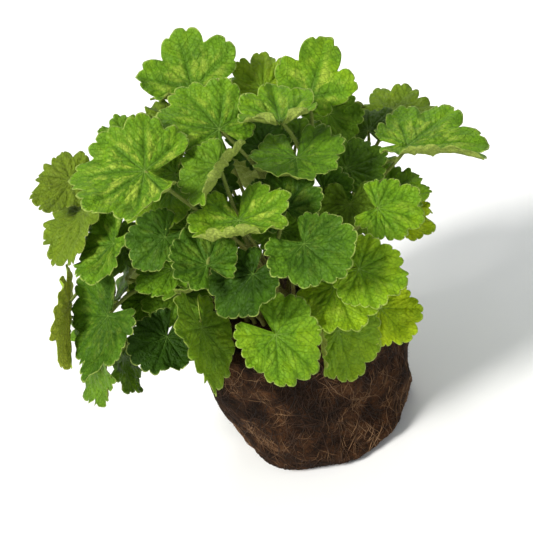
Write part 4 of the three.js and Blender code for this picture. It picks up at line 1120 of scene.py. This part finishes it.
def fineRoots():
    # roots of both kinds laid over the ball, thickest in the middle, and fibres that stand off it
    rng = np.random.default_rng(roots["seed"])
    arch = np.sin(np.pi * np.linspace(*roots["ends"], roots["segments"]))
    taper = roots["slim"] + (1 - roots["slim"]) * arch
    parts = []
    for kind in roots["kinds"]:
        paths, around = rootWalks(rng, kind)
        radii = rng.uniform(*kind["thickness"], (kind["count"], 1)) * taper
        points, faces = tubes(paths, radii, outward(around), roots["sides"])
        pale = np.repeat(rng.random(kind["count"]) * kind["pale"], len(points) // kind["count"])
        parts.append((points, faces, np.stack([pale, pale, pale], -1)))
    heading = rng.uniform(0, 2 * np.pi, fibres["count"])
    on = ballSurface(heading, rng.uniform(*fibres["starts"], fibres["count"]), -fibres["sink"])
    aim = outward(heading) * fibres["out"] + rng.normal(size=on.shape)
    length = fibres["length"] * rng.uniform(*fibres["uneven"], fibres["count"])
    points, faces = spikes(on, aim, length, fibres["radius"])
    parts.append((points, faces, np.full((len(points), 3), fibres["pale"])))
    points, faces, tone = joined(parts)
    points[:, 2] = np.maximum(points[:, 2], 0)
    return points, faces, tone


# Colours of soil and roots, sizes in millimetres; patch: how much darker or lighter in wide patches
soilPaint = dict(
    browns=[(0.34, (0.004, 0.0018, 0.0008)), (0.47, (0.017, 0.007, 0.003)), (0.57, (0.055, 0.022, 0.008)),
            (0.7, (0.13, 0.06, 0.024))],
    clodSize=9, gritSize=1.3, patchSize=24, patch=(-0.06, 0.04), feltSize=3.2, feltWarp=2.2,
    felt=(0.35, (0.17, 0.1, 0.052)), feltBump=0.4, roughness=0.84, gritRoughness=0.12, specular=0.1,
    bump=0.9, bumpDistance=1.2,
)
rootPaint = dict(
    browns=[(0.1, (0.012, 0.0055, 0.002)), (0.42, (0.05, 0.022, 0.009)), (0.66, (0.18, 0.094, 0.04)),
            (1.0, (0.42, 0.26, 0.135))],
    wornSize=3, wornTone=0.4, ownTone=0.8, patchSize=24, patch=(-0.22, 0.2), grainSize=0.6,
    roughness=0.62, gritRoughness=0.2, specular=0.3, bump=0.4, bumpDistance=0.2,
)


def widePatches(tree, where, paint):
    # from one end of the paint's patch to the other by a wide cloud
    return within(tree, cloud(tree, where, paint["patchSize"]), 0.35, 0.65, *paint["patch"])


def soilFinish():
    # browns by clods and grit, darker and lighter in wide patches, under a thin net of felt
    finish, tree, shader = newFinish("peatSoil")
    where = onObject(tree)
    clods = cloud(tree, where, soilPaint["clodSize"], detail=3)
    grit = cloud(tree, where, soilPaint["gritSize"], detail=5, rough=0.65)
    tone = compute(tree, "ADD", times(tree, clods, 0.5), times(tree, grit, 0.5))
    tone = compute(tree, "ADD", tone, widePatches(tree, where, soilPaint))
    threads = cloud(tree, where, soilPaint["feltSize"], detail=3, warp=soilPaint["feltWarp"])
    felt = within(tree, compute(tree, "ABSOLUTE", compute(tree, "SUBTRACT", threads, 0.5)), 0.028, 0.0)
    color = painted(tree, tones(tree, tone, soilPaint["browns"]), soilPaint, felt=felt)
    height = sloped(tree, felt, soilPaint["feltBump"], grit)
    coated(tree, shader, soilPaint, color, grit, height)
    return finish


def rootFinish():
    # browns by how worn a place is and by the root's own tone, in the same patches as the soil
    finish, tree, shader = newFinish("fineRoot")
    own = axes(tree, named(tree, "rootTone"))[0]
    where = onObject(tree)
    worn = cloud(tree, where, rootPaint["wornSize"], detail=3)
    tone = sloped(tree, worn, rootPaint["wornTone"], times(tree, own, rootPaint["ownTone"]))
    tone = compute(tree, "ADD", tone, widePatches(tree, where, rootPaint))
    height = cloud(tree, where, rootPaint["grainSize"])
    color = tones(tree, tone, rootPaint["browns"])
    coated(tree, shader, rootPaint, color, worn, height)
    return finish


def dressBall():
    # the soil takes the solid's place, and the felt of roots lies on it
    soil = makeMesh("peatBall", soilFinish(), *fineBall())
    points, faces, tone = fineRoots()
    felt = makeMesh("rootFelt", rootFinish(), points, faces, rootTone=tone)
    for piece in (soil, felt):
        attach(piece, "root")
    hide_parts("root_ball")


# Crown: a woody stock that keeps its radius up to straight and narrows to its shoulder and tip,
# with old leaf bases round it, seated by their heights, and buds on top
stock = dict(
    radius=6.5, rise=13, sink=9, around=48, rings=40, straight=2, shoulder=0.6, narrow=0.8, tip=0.4,
    rough=(0.5, 2.2),
)
scales = dict(
    count=26, turn=2.4, first=0.02, span=0.7, seats=(6.0, 6.0, 4.8, 0.6), out=1.6, up=3.6, radius=1.5,
    taper=0.75, steps=8, sides=7,
)
buds = dict(
    count=4, turn=0.5, place=0.5, rise=0.75, length=9, radius=2.2, round=0.6, least=0.05, steps=12,
    sides=12,
)
woodPaint = dict(
    browns=[(0.3, (0.05, 0.03, 0.018)), (0.55, (0.15, 0.09, 0.05)), (0.75, (0.2, 0.2, 0.07))],
    grainSize=1.6, roughness=0.7, gritRoughness=0.2, specular=0.5, bump=0.7, bumpDistance=0.6,
)


def stockSurface():
    # the solid's profile round the axis, roughened outwards by noise
    shoulder = stock["shoulder"] * stock["rise"]
    z = np.linspace(-stock["sink"], stock["rise"], stock["rings"])
    profile = np.interp(z, [-stock["sink"], stock["straight"], shoulder, stock["rise"]],
                        [stock["radius"], stock["radius"], stock["narrow"] * stock["radius"], stock["tip"]])
    path = (z + ball["height"])[:, None] * upward
    points, faces = tubes(path[None], profile[None], np.array([[[1.0, 0, 0]]]), stock["around"])
    rough = softNoise(points, stock["rough"][1], 3) * stock["rough"][0]
    offAxis = np.hypot(points[:, 0], points[:, 1]) > 0.5
    return points + unit(points * [1, 1, 0]) * (rough * offAxis)[:, None], faces


def leafBases():
    # a tapered tube for each on a golden-angle spiral: seat + lean * share + upward * share^2
    number = np.arange(scales["count"])
    rise = stock["rise"] * (scales["first"] + scales["span"] * number / scales["count"])
    out = outward(scales["turn"] * number)
    heights = [0, stock["straight"], stock["shoulder"] * stock["rise"], stock["rise"]]
    off = np.interp(rise, heights, scales["seats"])
    seat = out * off[:, None] + upward * (ball["height"] + rise)[:, None]
    share = np.linspace(0, 1, scales["steps"])[None, :, None]
    lean = out[:, None] * scales["out"] + upward * scales["up"]
    paths = seat[:, None] + lean * share + upward * share ** 2
    radii = scales["radius"] * (1 - scales["taper"] * share[..., 0])
    return tubes(paths, radii, np.cross(out, upward)[:, None], scales["sides"])


def youngBuds():
    # upright tubes in a ring, of radius * (1 - share)^round
    at = outward(buds["turn"] + evenTurns(buds["count"])) * buds["place"] * stock["radius"]
    share = np.linspace(0, 1, buds["steps"])[None, :, None]
    foot = ball["height"] + buds["rise"] * stock["rise"] - buds["length"] / 2
    paths = at[:, None] + upward * (foot + buds["length"] * share)
    radii = np.maximum(buds["radius"] * (1 - share[..., 0]) ** buds["round"], buds["least"])
    return tubes(paths, radii, np.array([[[1.0, 0, 0]]]), buds["sides"])


def dressCrown():
    # stock, leaf bases and buds in one piece, in browns and a little green by one grain
    finish, tree, shader = newFinish("oldWood")
    grain = cloud(tree, onObject(tree), woodPaint["grainSize"], detail=5)
    color = tones(tree, grain, woodPaint["browns"])
    coated(tree, shader, woodPaint, color, grain, grain)
    piece = makeMesh("woodyCrown", finish, *joined([stockSurface(), leafBases(), youngBuds()]))
    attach(piece, "root")
    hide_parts("crown")


placeCamera()
placeStudio()
print("camera, floor and lamps placed")

leaves = grownLeaves()
corners = {leaf["node"]: nodeCorners(leaf["node"]) for leaf in leaves}
for leaf in leaves:
    seatBlade(leaf, corners[leaf["node"]])
    seatStalk(leaf, corners[leaf["node"]])
print("leaves seated:", len(leaves), "largest misses",
      round(max(leaf["miss"] for leaf in leaves), 3), round(max(leaf["stray"] for leaf in leaves), 3))

dressLeaves(leaves)
print("leaves dressed")
dressBall()
dressCrown()
print("root ball and crown dressed")
